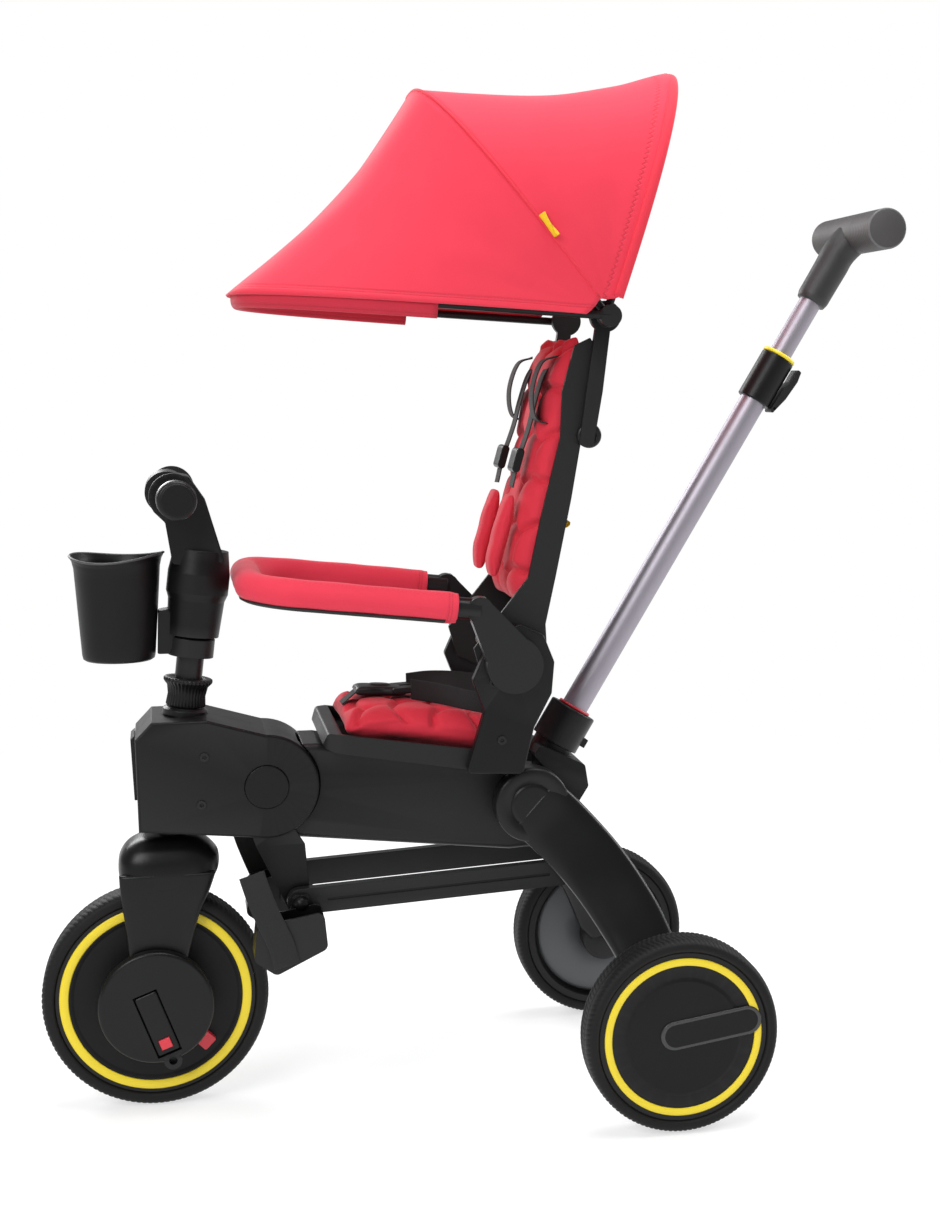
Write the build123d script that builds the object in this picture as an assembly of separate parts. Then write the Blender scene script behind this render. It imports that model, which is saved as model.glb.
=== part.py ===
from build123d import *
from math import atan2, cos, degrees, hypot, pi, radians, sin
import os

# A folding children's tricycle: pedal front wheel, two rear wheels on folding legs, seat with a harness
# and a bumper bar, sun canopy, and a telescopic handle for the parent.
# Lengths are in millimetres. x runs from the front axle back, y to the rider's right and z up from the
# ground. Left is the rider's left (-y). Every piece is moved by CENTRE_X when it is written.

os.makedirs("parts", exist_ok=True)

# ---------------------------------------------------------------- driving dimensions
FRONT_R = 125.0  # front wheel
FRONT_W = 46.0
REAR_R = 107.5  # rear wheels
REAR_W = 44.0
HALF_TRACK = 222.0  # mid-plane to the outer face of a rear wheel
WHEELBASE = 557.0
FRAME_LIFT = 2 * FRONT_R - 250.0  # a larger front wheel lifts the frame that stands on it
RAKE = 6.9  # degrees that the steering axis leans back

HEAD_HALF = 55.0  # half-widths, from the mid-plane out
HEAD_WALL = 3.5
HEAD_END_R = 58.0  # the head's round end about the fold hinge
BEAM_HALF = 46.0
BEAM_WALL = 4.0
TONGUE_HALF = 26.0
HANGER_T = 3.4
LINK_IN = 54.0  # inner face of a link bar
LINK_T = 12.0
LINK_H = 29.0
LEG_IN = 68.0  # inner face of a leg at its root
LEG_T = 26.0
SEAT_HALF = 97.0
BRACKET_IN = 100.0
BRACKET_T = 12.0
BACK_HALF = 96.0
BAR_Y = 121.0  # bumper bar arm
HUB_Y = 106.0  # canopy hub
CANOPY_HALF = 150.0

PIN_R = 8.0  # fold hinge pin
LEG_PIN_R = 9.0
AXLE_R = 6.0
COLUMN_R = 15.0
RUN = 0.05  # running clearance of a shaft in its hole
GAP = 0.4  # clearance between moving pieces that do not touch
CRANK_R = 63.0
CRANK_IN = 46.5
CRANK_T = 12.0
GRIP_Y = 140.0  # ends of the handlebar
BAR_TUBE_R = 11.0
BUMPER_TUBE_R = 12.0
SLEEVE_R = 16.5
PUSH_R = 15.5  # lower push tube
PUSH_WALL = 1.5
PUSH_TOP_R = 13.0  # upper push tube
PUSH_TOP_WALL = 1.5
PUSH_GRIP_R = 23.0
PUSH_GRIP_HALF = 95.0
CANOPY_CLOTH = 2.5
BOW_R = 4.5
BOW_STEP = 13.0  # one bow's hub sits this far outside the next


def lift(x, z):
    """A side-view point of the frame, which rises with the top of the front wheel."""
    return (x, z + FRAME_LIFT)


# ---------------------------------------------------------------- places that the pieces share
HINGE = lift(125.0, 367.0)  # fold hinge of the head
LEG_PIVOT = lift(416.0, 341.0)
REAR_AXLE = (WHEELBASE, REAR_R)
FRONT_AXLE = (0.0, FRONT_R)
KNOB = lift(159.0, 238.0)  # axis of the link bars and the foot cups
LINK_END = lift(455.0, 255.0)
SEAT_PIVOT = lift(390.0, 505.0)  # backrest and bumper bar
CANOPY_HUB = lift(495.0, 881.0)
PUSH_FOOT = lift(480.0, 428.0)  # a point on the push tube's axis
PUSH_LEAN = 31.0  # degrees from upright
PUSH_TOTAL = 557.0  # from PUSH_FOOT to the neck of the handle
REAR_OUT = HALF_TRACK - REAR_W
PUSH_DIR = Vector(sin(radians(PUSH_LEAN)), 0, cos(radians(PUSH_LEAN)))
STEER_DIR = Vector(sin(radians(RAKE)), 0, cos(radians(RAKE)))


# ---------------------------------------------------------------- helpers
def vec(point, y=0.0):
    """The 3-D point over a side-view point (x, z)."""
    return Vector(point[0], y, point[1])


def slab(outline, y_low, y_high):
    """A side-view face, drawn as (x, z), carried from y_low to y_high."""
    plane = Plane(origin=(0, y_high, 0), x_dir=(1, 0, 0), z_dir=(0, -1, 0))
    return extrude(plane * outline, y_high - y_low)


def polygon(*points):
    """A closed straight-sided face."""
    return make_face(Polyline(*points, close=True))


def rounded(radius, *points):
    """A closed face whose corners all have one radius."""
    face = polygon(*points)
    return fillet(face.vertices(), radius)


def disc(centre, radius, y_low, y_high):
    """A cylinder along y."""
    return slab(Pos(*centre) * Circle(radius), y_low, y_high)


def ring(centre, outer, inner, y_low, y_high):
    """A tube along y."""
    return slab(Pos(*centre) * (Circle(outer) - Circle(inner)), y_low, y_high)


def rod(start, end, radius, hole=0.0):
    """A round bar, or a tube, between two 3-D points."""
    along = Vector(*end) - Vector(*start)
    section = Circle(radius) - Circle(hole) if hole else Circle(radius)
    return extrude(Plane(origin=start, z_dir=along) * section, along.length)


def turned(profile, origin, axis):
    """A piece turned on a lathe: profile is a list of (radius, distance along the axis)."""
    side = Vector(1, 0, 0) if abs(Vector(*axis).Y) > 0.5 else Vector(0, 1, 0)
    plane = Plane(origin=origin, x_dir=side, z_dir=side.cross(Vector(*axis)))
    face = plane * make_face(Polyline(*profile, close=True))
    return revolve(face, Axis(origin, axis))


def on_steering(z):
    """The point of the steering axis at height z, in frame heights."""
    height = z + FRAME_LIFT
    return Vector(sin(radians(RAKE)) / cos(radians(RAKE)) * (height - FRONT_R), 0, height)


def on_push(distance):
    """A point of the push tube's axis."""
    return vec(PUSH_FOOT) + PUSH_DIR * distance


def both(piece):
    """A left-hand piece and its mirror image on the right."""
    return [piece, mirror(piece, Plane.XZ)]


nodes = {}


def keep(name, *pieces):
    """Store a node's solids under its name."""
    solids = []
    for piece in pieces:
        solids += list(piece.solids())
    nodes[name] = solids


# ---------------------------------------------------------------- frame
def main_beam():
    """Hollow beam with a tongue that turns in the head; its rear end is open under the rear block."""
    outline = polygon(
        lift(150, 411), lift(182, 411), lift(405, 371), lift(440, 363), lift(440, 282), lift(398, 280), lift(150, 307)
    )
    beam = slab(outline, -BEAM_HALF, BEAM_HALF)
    beam = fillet(beam.edges().filter_by(Axis.X, tolerance=12), 7)
    beam -= disc(HINGE, HEAD_END_R + 1.5, -BEAM_HALF - 1, BEAM_HALF + 1)
    inside = polygon(lift(205, 402), lift(441, 360), lift(441, 288), lift(398, 287), lift(205, 308))
    beam -= slab(inside, -BEAM_HALF + BEAM_WALL, BEAM_HALF - BEAM_WALL)
    arm = polygon(lift(125, 402), lift(204, 395), lift(204, 318), lift(125, 332))
    tongue = slab(arm, -TONGUE_HALF, TONGUE_HALF) + disc(HINGE, 38, -TONGUE_HALF, TONGUE_HALF)
    beam = beam + tongue
    beam -= disc(HINGE, PIN_R, -TONGUE_HALF - 1, TONGUE_HALF + 1)
    beam -= disc(LEG_PIVOT, LEG_PIN_R, -BEAM_HALF - 1, BEAM_HALF + 1)
    return beam


def rear_block():
    """The block behind the beam, which carries the push socket and closes the beam's end."""
    outline = polygon(
        lift(440.3, 372), lift(428, 386), lift(436, 398), lift(488, 373), lift(492, 348), lift(478, 326), lift(440.3, 300)
    )
    block = slab(outline, -38, 38)
    block = fillet(block.edges().filter_by(Axis.Y), 5)
    foot = rod(on_push(-62), on_push(-40), 24)
    return block + foot


def push_socket():
    """Collar that the push tube plugs into."""
    socket = rod(on_push(-39.5), on_push(5), 28) - rod(on_push(-30), on_push(6), PUSH_R)
    socket = fillet(socket.edges().filter_by(GeomType.CIRCLE).sort_by(Axis.Z)[-2:], 2)
    window = Pos(*on_push(-24)) * Rot(0, PUSH_LEAN, 0) * Pos(25, 0, 0) * Box(18, 15, 11)
    return socket - window


def socket_button():
    """Release button at the back of the push socket."""
    return Pos(*on_push(-24)) * Rot(0, PUSH_LEAN, 0) * Pos(28, 0, 0) * Box(10, 14.2, 10.2)


TRAY_FRONT = 184.0
TRAY_REAR = 398.0


def seat_tray():
    """Seat shell with a raised edge, standing on the beam."""
    outline = rounded(
        4, lift(TRAY_FRONT, 414.5), lift(190, 430), lift(202, 430), lift(TRAY_REAR, 401), lift(TRAY_REAR, 376), lift(196, 410)
    )
    tray = slab(outline, -SEAT_HALF, SEAT_HALF)
    middle = (TRAY_FRONT + TRAY_REAR) / 2
    plan = Pos(middle, 0) * RectangleRounded(TRAY_REAR - TRAY_FRONT, 2 * SEAT_HALF, 26)
    tray = tray & extrude(plan, lift(0, 600)[1])
    hollow = polygon(lift(205, 440), lift(205, 416), lift(TRAY_REAR - 6, 388), lift(TRAY_REAR - 6, 440))
    tray -= slab(hollow, -SEAT_HALF + 6, SEAT_HALF - 6)
    for notch in both(disc(LEG_PIVOT, 44, -SEAT_HALF - 1, -LEG_IN + 2)):
        tray -= notch
    return tray


def seat_cushion():
    """Quilted cushion lying in the tray."""
    outline = rounded(
        6, lift(208, 419), lift(208, 432), lift(216, 452), lift(300, 447), lift(384, 434), lift(388, 392)
    )
    return slab(outline, -SEAT_HALF + 8, SEAT_HALF - 8)


def side_brackets():
    """The two plates that carry the backrest and the bumper bar."""
    outline = polygon(
        lift(338, 384), lift(359, 453), lift(346, 487), lift(364, 527), lift(397, 548), lift(425, 535),
        lift(437, 505), lift(434, 470), lift(414, 432), lift(402, 381)
    )
    outline = fillet(outline.vertices(), 6)
    bracket = slab(outline, -BRACKET_IN - BRACKET_T, -BRACKET_IN)
    edges = bracket.faces().sort_by(Axis.Y)[0].edges()
    bracket = fillet(edges, 2)
    bracket -= disc(SEAT_PIVOT, PIN_R, -BRACKET_IN - BRACKET_T - 1, -BRACKET_IN + 1)
    foot = slab(polygon(lift(346, 386), lift(396, 380), lift(396, 394), lift(346, 402)), -BRACKET_IN, -SEAT_HALF)
    return both(bracket + foot)


def pivot_pins():
    """Steel pins: fold hinge, leg pivot, and one pin each side for the backrest."""
    fold = disc(HINGE, PIN_R - RUN, -46, 46)
    legs = disc(LEG_PIVOT, LEG_PIN_R - RUN, -LEG_IN - LEG_T + 4, LEG_IN + LEG_T - 4)
    seat = disc(SEAT_PIVOT, PIN_R - RUN, -BRACKET_IN - BRACKET_T - 0.2, -BACK_HALF + 6)
    return [fold, legs] + both(seat)


SCREW_R = 5.0


def screw(centre, y_face):
    """Socket-head screw standing a little proud of a left-hand face."""
    head = disc(centre, SCREW_R, y_face - 1.6, y_face)
    hexagon = slab(Pos(*centre) * RegularPolygon(2.4, 6), y_face - 2, y_face - 0.5)
    return head - hexagon


def frame_screws():
    """Screws of the side brackets."""
    face = -BRACKET_IN - BRACKET_T
    screws = []
    for centre in (lift(369, 484), lift(378, 420)):
        screws += both(screw(centre, face))
    return screws


CLAMP_AT = 420.0  # from PUSH_FOOT to the foot of the clamp


def push_tube_lower():
    return rod(on_push(-30), on_push(CLAMP_AT + 40), PUSH_R - RUN, PUSH_R - PUSH_WALL)


def push_clamp():
    """Clamp at the top of the lower tube."""
    body = rod(on_push(CLAMP_AT), on_push(CLAMP_AT + 58), 20)
    body = fillet(body.edges().filter_by(GeomType.CIRCLE), 1.5)
    body -= rod(on_push(CLAMP_AT - 1), on_push(CLAMP_AT + 40), PUSH_R)
    body -= rod(on_push(CLAMP_AT + 30), on_push(CLAMP_AT + 60), PUSH_TOP_R + RUN)
    return body


CLAMP_PIN = on_push(CLAMP_AT + 4) + Vector(cos(radians(PUSH_LEAN)), 0, -sin(radians(PUSH_LEAN))) * 24


def clamp_lever():
    """Curved lever behind the clamp, closed against it."""
    back = (cos(radians(PUSH_LEAN)), 0, -sin(radians(PUSH_LEAN)))
    plane = Plane(origin=on_push(CLAMP_AT), x_dir=back, z_dir=(0, -1, 0))
    shape = fillet(polygon((20.6, 2), (24, -4), (30, 20), (32, 44), (30, 56), (25, 57), (25, 40), (22, 30)).vertices(), 1.5)
    shape -= Pos(24, 4) * Circle(1.5)
    return extrude(plane * shape, 12, both=True)


def push_tube_upper():
    return rod(on_push(CLAMP_AT - 60), on_push(PUSH_TOTAL + 10), PUSH_TOP_R, PUSH_TOP_R - PUSH_TOP_WALL)


GRIP_CENTRE = on_push(PUSH_TOTAL + 88) + Vector(9, 0, 0)


def push_grip():
    """T-shaped handle: a neck over the tube and a cross bar."""
    neck = rod(on_push(PUSH_TOTAL - 2), on_push(PUSH_TOTAL + 62), 19)
    neck -= rod(on_push(PUSH_TOTAL - 3), on_push(PUSH_TOTAL + 10), PUSH_TOP_R)
    neck += rod(on_push(PUSH_TOTAL + 55), GRIP_CENTRE, 21)
    bar = disc((GRIP_CENTRE.X, GRIP_CENTRE.Z), PUSH_GRIP_R, -PUSH_GRIP_HALF, PUSH_GRIP_HALF)
    bar = fillet(bar.edges().filter_by(GeomType.CIRCLE), 4)
    return neck + bar


# ---------------------------------------------------------------- head
def head_outline(inset=0.0):
    """Side view of the head: a box at the front and a round end about the hinge."""
    box = polygon(
        lift(-14 + inset, 322 + inset), lift(-16 + inset, 424 - inset), lift(2 + inset, 443 - inset),
        lift(62, 443 - inset), lift(125, 425 - inset), lift(125, 309 + inset)
    )
    return box + Pos(*HINGE) * Circle(HEAD_END_R - inset)


def head_shell():
    """Left shell of the head."""
    shell = slab(head_outline(), -HEAD_HALF, -0.1)
    outer = shell.faces().sort_by(Axis.Y)[0].edges()
    shell = fillet(outer, 3)
    shell -= slab(head_outline(HEAD_WALL), -HEAD_HALF + HEAD_WALL, 1)
    cheek = disc(HINGE, 34, -HEAD_HALF + HEAD_WALL, -TONGUE_HALF - GAP)
    cheek += disc(HINGE, 14, -HEAD_HALF + HEAD_WALL, -TONGUE_HALF - GAP)
    shell += cheek
    throat = polygon(lift(112, 300), lift(112, 326), lift(150, 412), lift(190, 412), lift(190, 300))
    shell -= slab(throat, -TONGUE_HALF - GAP, 1)
    shell -= slab(polygon(lift(78, 300), lift(78, 322), lift(160, 322), lift(172, 300)), -HEAD_HALF + HEAD_WALL, 1)
    shell -= disc(HINGE, PIN_R, -46.2, 1)
    shell -= disc(HINGE, 24.4, -HEAD_HALF - 1, -HEAD_HALF + 5)
    shell -= rod(on_steering(300), on_steering(460), 22) + rod(on_steering(440.7), on_steering(460), 25.3)
    return shell


def fold_button():
    """Round push button over the end of the fold hinge."""
    button = disc(HINGE, 24, -HEAD_HALF - 2, -HEAD_HALF + 2)
    return fillet(button.edges().filter_by(GeomType.CIRCLE).sort_by(Axis.Y)[:1], 1.2)


def head_cover():
    """Cover strip on the front of the head."""
    outline = polygon(lift(-18, 352), lift(-21, 420), lift(-16.6, 424), lift(-15.2, 352))
    strip = slab(outline, -26, 26)
    return fillet(strip.edges().filter_by(Axis.X, tolerance=10), 1)


def head_bushes():
    """Upper and lower bearing of the steering column; the upper one is the ring on top of the head."""
    profile = [(COLUMN_R + RUN, 0), (21.9, 0), (21.9, 8), (25, 9), (25, 15), (21, 18), (COLUMN_R + RUN, 18)]
    upper = turned(profile, on_steering(433), STEER_DIR)
    lower = rod(on_steering(318), on_steering(328), 21.9, COLUMN_R + RUN)
    return [upper, lower]


def footrest_hanger():
    """Two plates under the head, each with a stub that carries a foot cup and a link bar."""
    y_out = HEAD_HALF - HEAD_WALL - 0.1
    outline = fillet(
        polygon(lift(104, 325), lift(150, 325), lift(166, 300), lift(172, 226), lift(148, 224), lift(112, 300)).vertices(), 4
    )
    plate = slab(outline, -y_out, -y_out + HANGER_T)
    stub = disc(KNOB, 7, -LEG_IN, -y_out + 1)
    return both(plate + stub)


# ---------------------------------------------------------------- steering
def fork():
    """Fork with a bell-shaped crown; its blades end behind the crank discs."""
    side = polygon(
        lift(1, 308), lift(46, 308), lift(66, 297), lift(77, 284), lift(68, 262), lift(53, 240), lift(40, 190),
        (26, FRONT_R), (-26, FRONT_R), lift(-29, 190), lift(-34, 243), lift(-38, 284), lift(-24, 297)
    )
    side = side + Pos(*FRONT_AXLE) * Circle(26)
    body = slab(side, -44, 44)
    top = FRAME_LIFT + 308
    front = polygon((-44, FRONT_R - 40), (-44, top - 46), (-38, top - 22), (-22, top), (22, top), (38, top - 22), (44, top - 46), (44, FRONT_R - 40))
    mask = extrude(Plane(origin=(-150, 0, 0), x_dir=(0, 1, 0), z_dir=(1, 0, 0)) * front, 400)
    body = body & mask
    body -= disc(FRONT_AXLE, FRONT_R + 5, -FRONT_W / 2 - 4, FRONT_W / 2 + 4)
    body -= disc(FRONT_AXLE, AXLE_R + RUN, -60, 60)
    body -= rod(on_steering(290), on_steering(320), COLUMN_R)
    return body


def steering_column():
    return rod(on_steering(290), on_steering(544), COLUMN_R, COLUMN_R - 2.5)


def steer_collar():
    """Fluted collar that engages the handlebar with the fork."""
    profile = [(COLUMN_R + RUN, 0), (22, 0), (20.5, 14), (23, 24), (27, 27), (27, 31), (COLUMN_R + RUN, 31)]
    return turned(profile, on_steering(452.5), STEER_DIR)


def handlebar():
    """Stem with a swept cross bar."""
    base = on_steering(531)
    barrel = [(COLUMN_R, 0), (28.5, 0), (31, 40), (34, 48), (34, 70), (30, 96), (0, 96), (0, 14), (COLUMN_R, 14)]
    stem = turned(barrel, base, STEER_DIR)
    neck = fillet(
        polygon(lift(29, 612), lift(86, 612), lift(66, 681), lift(48, 708), lift(28, 712), lift(8, 704), lift(2, 688),
                lift(10, 670), lift(22, 658)).vertices(), 5
    )
    stem += slab(neck, -24, 24)
    sleeve = turned([(COLUMN_R, 0), (25, 0), (25, 20), (19, 22.6), (COLUMN_R, 22.6)], on_steering(508), STEER_DIR)
    bar = rod(vec(BAR_MID), vec(BAR_END, GRIP_Y - 8), 15) + rod(vec(BAR_MID), vec(BAR_END, -GRIP_Y + 8), 15)
    bar += disc(BAR_MID, 23, -30, 30)
    return stem + sleeve + bar


BAR_MID = lift(24, 691)
BAR_END = lift(34, 689)


def bar_grips():
    """Rubber grips with a flange at the inner end."""
    direction = (vec(BAR_END, -GRIP_Y + 8) - vec(BAR_MID)).normalized()
    start = vec(BAR_MID) + direction * 82
    end_at = (vec(BAR_END, -GRIP_Y + 8) - vec(BAR_MID)).length + 8
    grip = rod(start, vec(BAR_MID) + direction * end_at, 18.5)
    grip += rod(start, start + direction * 5, 25)
    grip = fillet(grip.edges().filter_by(GeomType.CIRCLE).sort_by(Axis.Y)[:1], 3)
    grip -= rod(vec(BAR_MID), vec(BAR_END, -GRIP_Y + 8), 15)
    return both(grip)


CUP = lift(-31, 506)  # centre of the cup's base
CUP_H = 116.0


def cup_holder():
    """Drink cup with a flared rim and a bracket to the stem."""
    outside = [(0, 0), (38, 0), (40, 6), (47, CUP_H - 8), (51, CUP_H), (0, CUP_H)]
    inside = [(0, 3), (37, 3), (44.5, CUP_H - 8), (49, CUP_H + 1), (0, CUP_H + 1)]
    cup = turned(outside, vec(CUP), (0, 0, 1)) - turned(inside, vec(CUP), (0, 0, 1))
    bracket = slab(polygon(lift(13, 512), lift(28, 512), lift(28, 552), lift(13, 560)), -13, 13)
    bracket -= rod(vec(CUP), vec(CUP) + Vector(0, 0, CUP_H), 42)
    bracket -= rod(on_steering(505), on_steering(531), 25) + rod(on_steering(530.9), on_steering(600), 31)
    return cup + bracket


# ---------------------------------------------------------------- front wheel, cranks and pedals
def wheel_part(centre, profile):
    """A wheel piece turned about y: profile is (radius, y)."""
    return turned(profile, vec(centre), (0, 1, 0))


def tyre_profile(radius, half, depth):
    """A rounded tread with square shoulders, carried on a rim depth below it."""
    return [
        (radius - depth, -half + 4), (radius - 8, -half), (radius - 3, -half + 2.5), (radius, -half + 9), (radius, half - 9),
        (radius - 3, half - 2.5), (radius - 8, half), (radius - depth, half - 4)
    ]


def front_wheel():
    """Closed wheel disc; its faces are set back behind the tyre."""
    half = FRONT_W / 2
    rim = FRONT_R - 15.2
    return wheel_part(
        FRONT_AXLE,
        [
            (AXLE_R + RUN, -half + 2), (40, -half + 2), (44, -half + 4.5), (rim - 20, -half + 4.5), (rim - 16, -half + 3),
            (rim, -half + 3), (rim, half - 3), (rim - 16, half - 3), (rim - 20, half - 4.5), (44, half - 4.5), (40, half - 2),
            (AXLE_R + RUN, half - 2)
        ]
    )


def front_tyre():
    return wheel_part(FRONT_AXLE, tyre_profile(FRONT_R, FRONT_W / 2, 15))


CLUTCH_AT = (52.0, FRONT_R - 50.0)


def clutch_lever():
    """Red tab that engages the pedals; it turns on the wheel's hub."""
    half = FRONT_W / 2
    tab = slab(Pos(*CLUTCH_AT) * Rot(0, 0, -44) * Rectangle(20, 17), -half - 3.6, -half + 4.3)
    tab = fillet(tab.edges().filter_by(Axis.Y), 2)
    arm = slab(Pos(*FRONT_AXLE) * Rot(0, 0, -44) * Pos(32, 0) * Rectangle(64, 10), -half - 0.6, -half + 1.7)
    arm += disc(FRONT_AXLE, 13, -half - 0.6, -half + 1.7)
    arm -= disc(FRONT_AXLE, AXLE_R + RUN, -half - 3, -half + 3)
    return tab + arm


def crank_axle():
    return disc(FRONT_AXLE, AXLE_R, -CRANK_IN - 6, CRANK_IN + 6)


CRANK_TURN = 110.7  # degrees from +x to the folded pedal's direction
PEDAL_L = 72.0
PEDAL_W = 26.0
PEDAL_T = 6.0
BOSS = (17.0, FRONT_R - 61.0)


def along_crank(distance, across=0.0):
    """A point of the crank's side view, from the boss along the folded pedal."""
    c = cos(radians(CRANK_TURN))
    s = sin(radians(CRANK_TURN))
    return (BOSS[0] + c * distance + s * across, BOSS[1] + s * distance - c * across)


def crank_disc():
    """Left crank disc with a pocket for the folded pedal and a boss at its rim."""
    outer = -CRANK_IN - CRANK_T
    crank = disc(FRONT_AXLE, CRANK_R, outer, -CRANK_IN)
    crank = fillet(crank.edges().filter_by(GeomType.CIRCLE).sort_by(Axis.Y)[:1], 4)
    crank += disc(BOSS, 10, outer, -CRANK_IN)
    pocket = Pos(*along_crank(10 + PEDAL_L / 2)) * Rot(0, 0, CRANK_TURN) * Rectangle(PEDAL_L + 3, PEDAL_W + 1.6)
    crank -= slab(pocket, outer - 1, outer + PEDAL_T + 0.6)
    crank -= disc(BOSS, 4.5, outer - 1, outer + 8)
    crank -= disc(FRONT_AXLE, AXLE_R, -CRANK_IN - 6, -CRANK_IN + 1)
    return crank


def pedal():
    """Left pedal, folded flat in the crank disc."""
    outer = -CRANK_IN - CRANK_T
    plate = Pos(*along_crank(10 + PEDAL_L / 2)) * Rot(0, 0, CRANK_TURN) * Rectangle(PEDAL_L, PEDAL_W)
    solid = slab(plate, outer, outer + PEDAL_T)
    solid = fillet(solid.edges().filter_by(Axis.Y), 3)
    hinge_edge = [e for e in solid.edges() if abs((e @ 0.5).Z - along_crank(10)[1]) < 2 and e.length > 15]
    solid = fillet(hinge_edge, 2.8)
    hole = Pos(*along_crank(22)) * Rot(0, 0, CRANK_TURN) * Rectangle(12, 13)
    return solid - slab(hole, outer - 1, outer + PEDAL_T + 1)


def pedal_button():
    """Red release button in the pedal."""
    outer = -CRANK_IN - CRANK_T
    block = Pos(*along_crank(22)) * Rot(0, 0, CRANK_TURN) * Rectangle(11.4, 12.4)
    return slab(block, outer - 1.6, outer + 3.5)


# ---------------------------------------------------------------- footrest
def foot_cups():
    """Two foot cups on arms that hang from the hanger's cross tube."""
    y_in = LEG_IN + 0.4
    x, z = KNOB
    outline = fillet(polygon((x - 54, z - 50), (x - 50, z - 12), (x + 22, z + 1), (x + 26, z - 40), (x - 30, z - 67)).vertices(), 8)
    cup = slab(outline, -y_in - 46, -y_in - 4)
    floor = fillet(polygon((x - 50, z - 44), (x - 48, z + 8), (x + 20, z + 16), (x + 22, z - 36), (x - 26, z - 58)).vertices(), 6)
    cup -= slab(floor, -y_in - 42, -y_in - 8)
    arm = slab(fillet(polygon((x - 9, z + 10), (x + 9, z + 10), (x + 12, z - 30), (x - 16, z - 40)).vertices(), 5), -y_in - 4, -y_in)
    ball = Pos(x, -y_in - 3, z) * Sphere(9) - Pos(x, -y_in + 10, z) * Box(30, 20, 30)
    return both(cup + arm + ball)


def foot_straps():
    """Webbing straps over the foot cups."""
    y_out = -LEG_IN - 0.4 - 46.4
    x, z = KNOB
    strap = slab(polygon((x - 58, z + 50), (x - 34, z + 46), (x - 2, z - 60), (x - 42, z - 66)), y_out - 3, y_out)
    return both(strap)


def link_bar():
    """Left link bar from the hanger to the rear leg."""
    slope = degrees(atan2(LINK_END[1] - KNOB[1], LINK_END[0] - KNOB[0]))
    length = hypot(LINK_END[0] - KNOB[0], LINK_END[1] - KNOB[1])
    place = Pos(*KNOB) * Rot(0, 0, slope)
    shape = place * Pos(length / 2, 0) * Rectangle(length, LINK_H) + place * Circle(LINK_H / 2)
    shape += place * Pos(length, 0) * Circle(LINK_H / 2)
    bar = slab(shape, -LINK_IN - LINK_T, -LINK_IN)
    groove = slab(place * Pos(length / 2 + 8, 0) * Rectangle(length - 44, 3), -LINK_IN - LINK_T - 1, -LINK_IN - LINK_T + 1.2)
    return bar - groove - disc(KNOB, 7 + RUN, -LINK_IN - LINK_T - 1, -LINK_IN + 1)


# ---------------------------------------------------------------- rear legs and wheels
def rear_leg():
    """Left leg: a round root on the leg pivot, flaring out to a stub axle."""
    root_y = -LEG_IN - LEG_T / 2
    end_y = -REAR_OUT + 2 + LEG_T / 2
    dx = REAR_AXLE[0] - LEG_PIVOT[0]
    dz = REAR_AXLE[1] - LEG_PIVOT[1]
    tilt = degrees(atan2(dx, -dz))
    stations = [(0.08, 70, root_y), (0.4, 70, root_y - 32), (0.68, 67, end_y + 22), (0.95, 58, end_y)]
    sections = []
    for share, width, y in stations:
        centre = Vector(LEG_PIVOT[0] + dx * share, y, LEG_PIVOT[1] + dz * share)
        plane = Plane(origin=centre, x_dir=(cos(radians(tilt)), 0, sin(radians(tilt))), z_dir=(dx, 0, dz))
        sections.append(plane * RectangleRounded(width, LEG_T, 8))
    leg = loft(sections)
    root = disc(LEG_PIVOT, 42, -LEG_IN - LEG_T, -LEG_IN)
    root = fillet(root.edges().filter_by(GeomType.CIRCLE).sort_by(Axis.Y)[:1], 3)
    end = disc(REAR_AXLE, 28, -REAR_OUT + 1, -REAR_OUT + LEG_T)
    leg = leg + root + end
    leg -= disc(LEG_PIVOT, LEG_PIN_R, -LEG_IN - LEG_T + 4, -LEG_IN + 30)
    leg -= ring(LEG_PIVOT, 20, 19, -LEG_IN - LEG_T - 1, -LEG_IN - LEG_T + 1)
    leg += disc(REAR_AXLE, AXLE_R, -HALF_TRACK + 6, -REAR_OUT + LEG_T - 4)
    return leg


def rear_wheel():
    """Left wheel: flat outer face, dished inner face."""
    out = -HALF_TRACK
    rim = REAR_R - 14.2
    return wheel_part(
        REAR_AXLE,
        [
            (0, out + 2), (62, out + 2), (66, out + 3.5), (rim, out + 3.5), (rim, -REAR_OUT - 3), (rim - 8, -REAR_OUT - 3),
            (rim - 12, -REAR_OUT - 14), (24, -REAR_OUT - 14), (20, -REAR_OUT - 1), (AXLE_R + RUN, -REAR_OUT - 1),
            (AXLE_R + RUN, out + 5.5), (0, out + 5.5)
        ]
    )


def rear_tyre():
    middle = -(HALF_TRACK + REAR_OUT) / 2
    profile = tyre_profile(REAR_R, REAR_W / 2, 14)
    return wheel_part(REAR_AXLE, [(r, y + middle) for r, y in profile])


# ---------------------------------------------------------------- backrest
def back_line():
    """Rear edge of the backrest from the pivot up."""
    return [lift(430, 545), lift(442, 600), lift(459, 683), lift(473, 764), lift(484, 815), lift(488, 846)]


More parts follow.
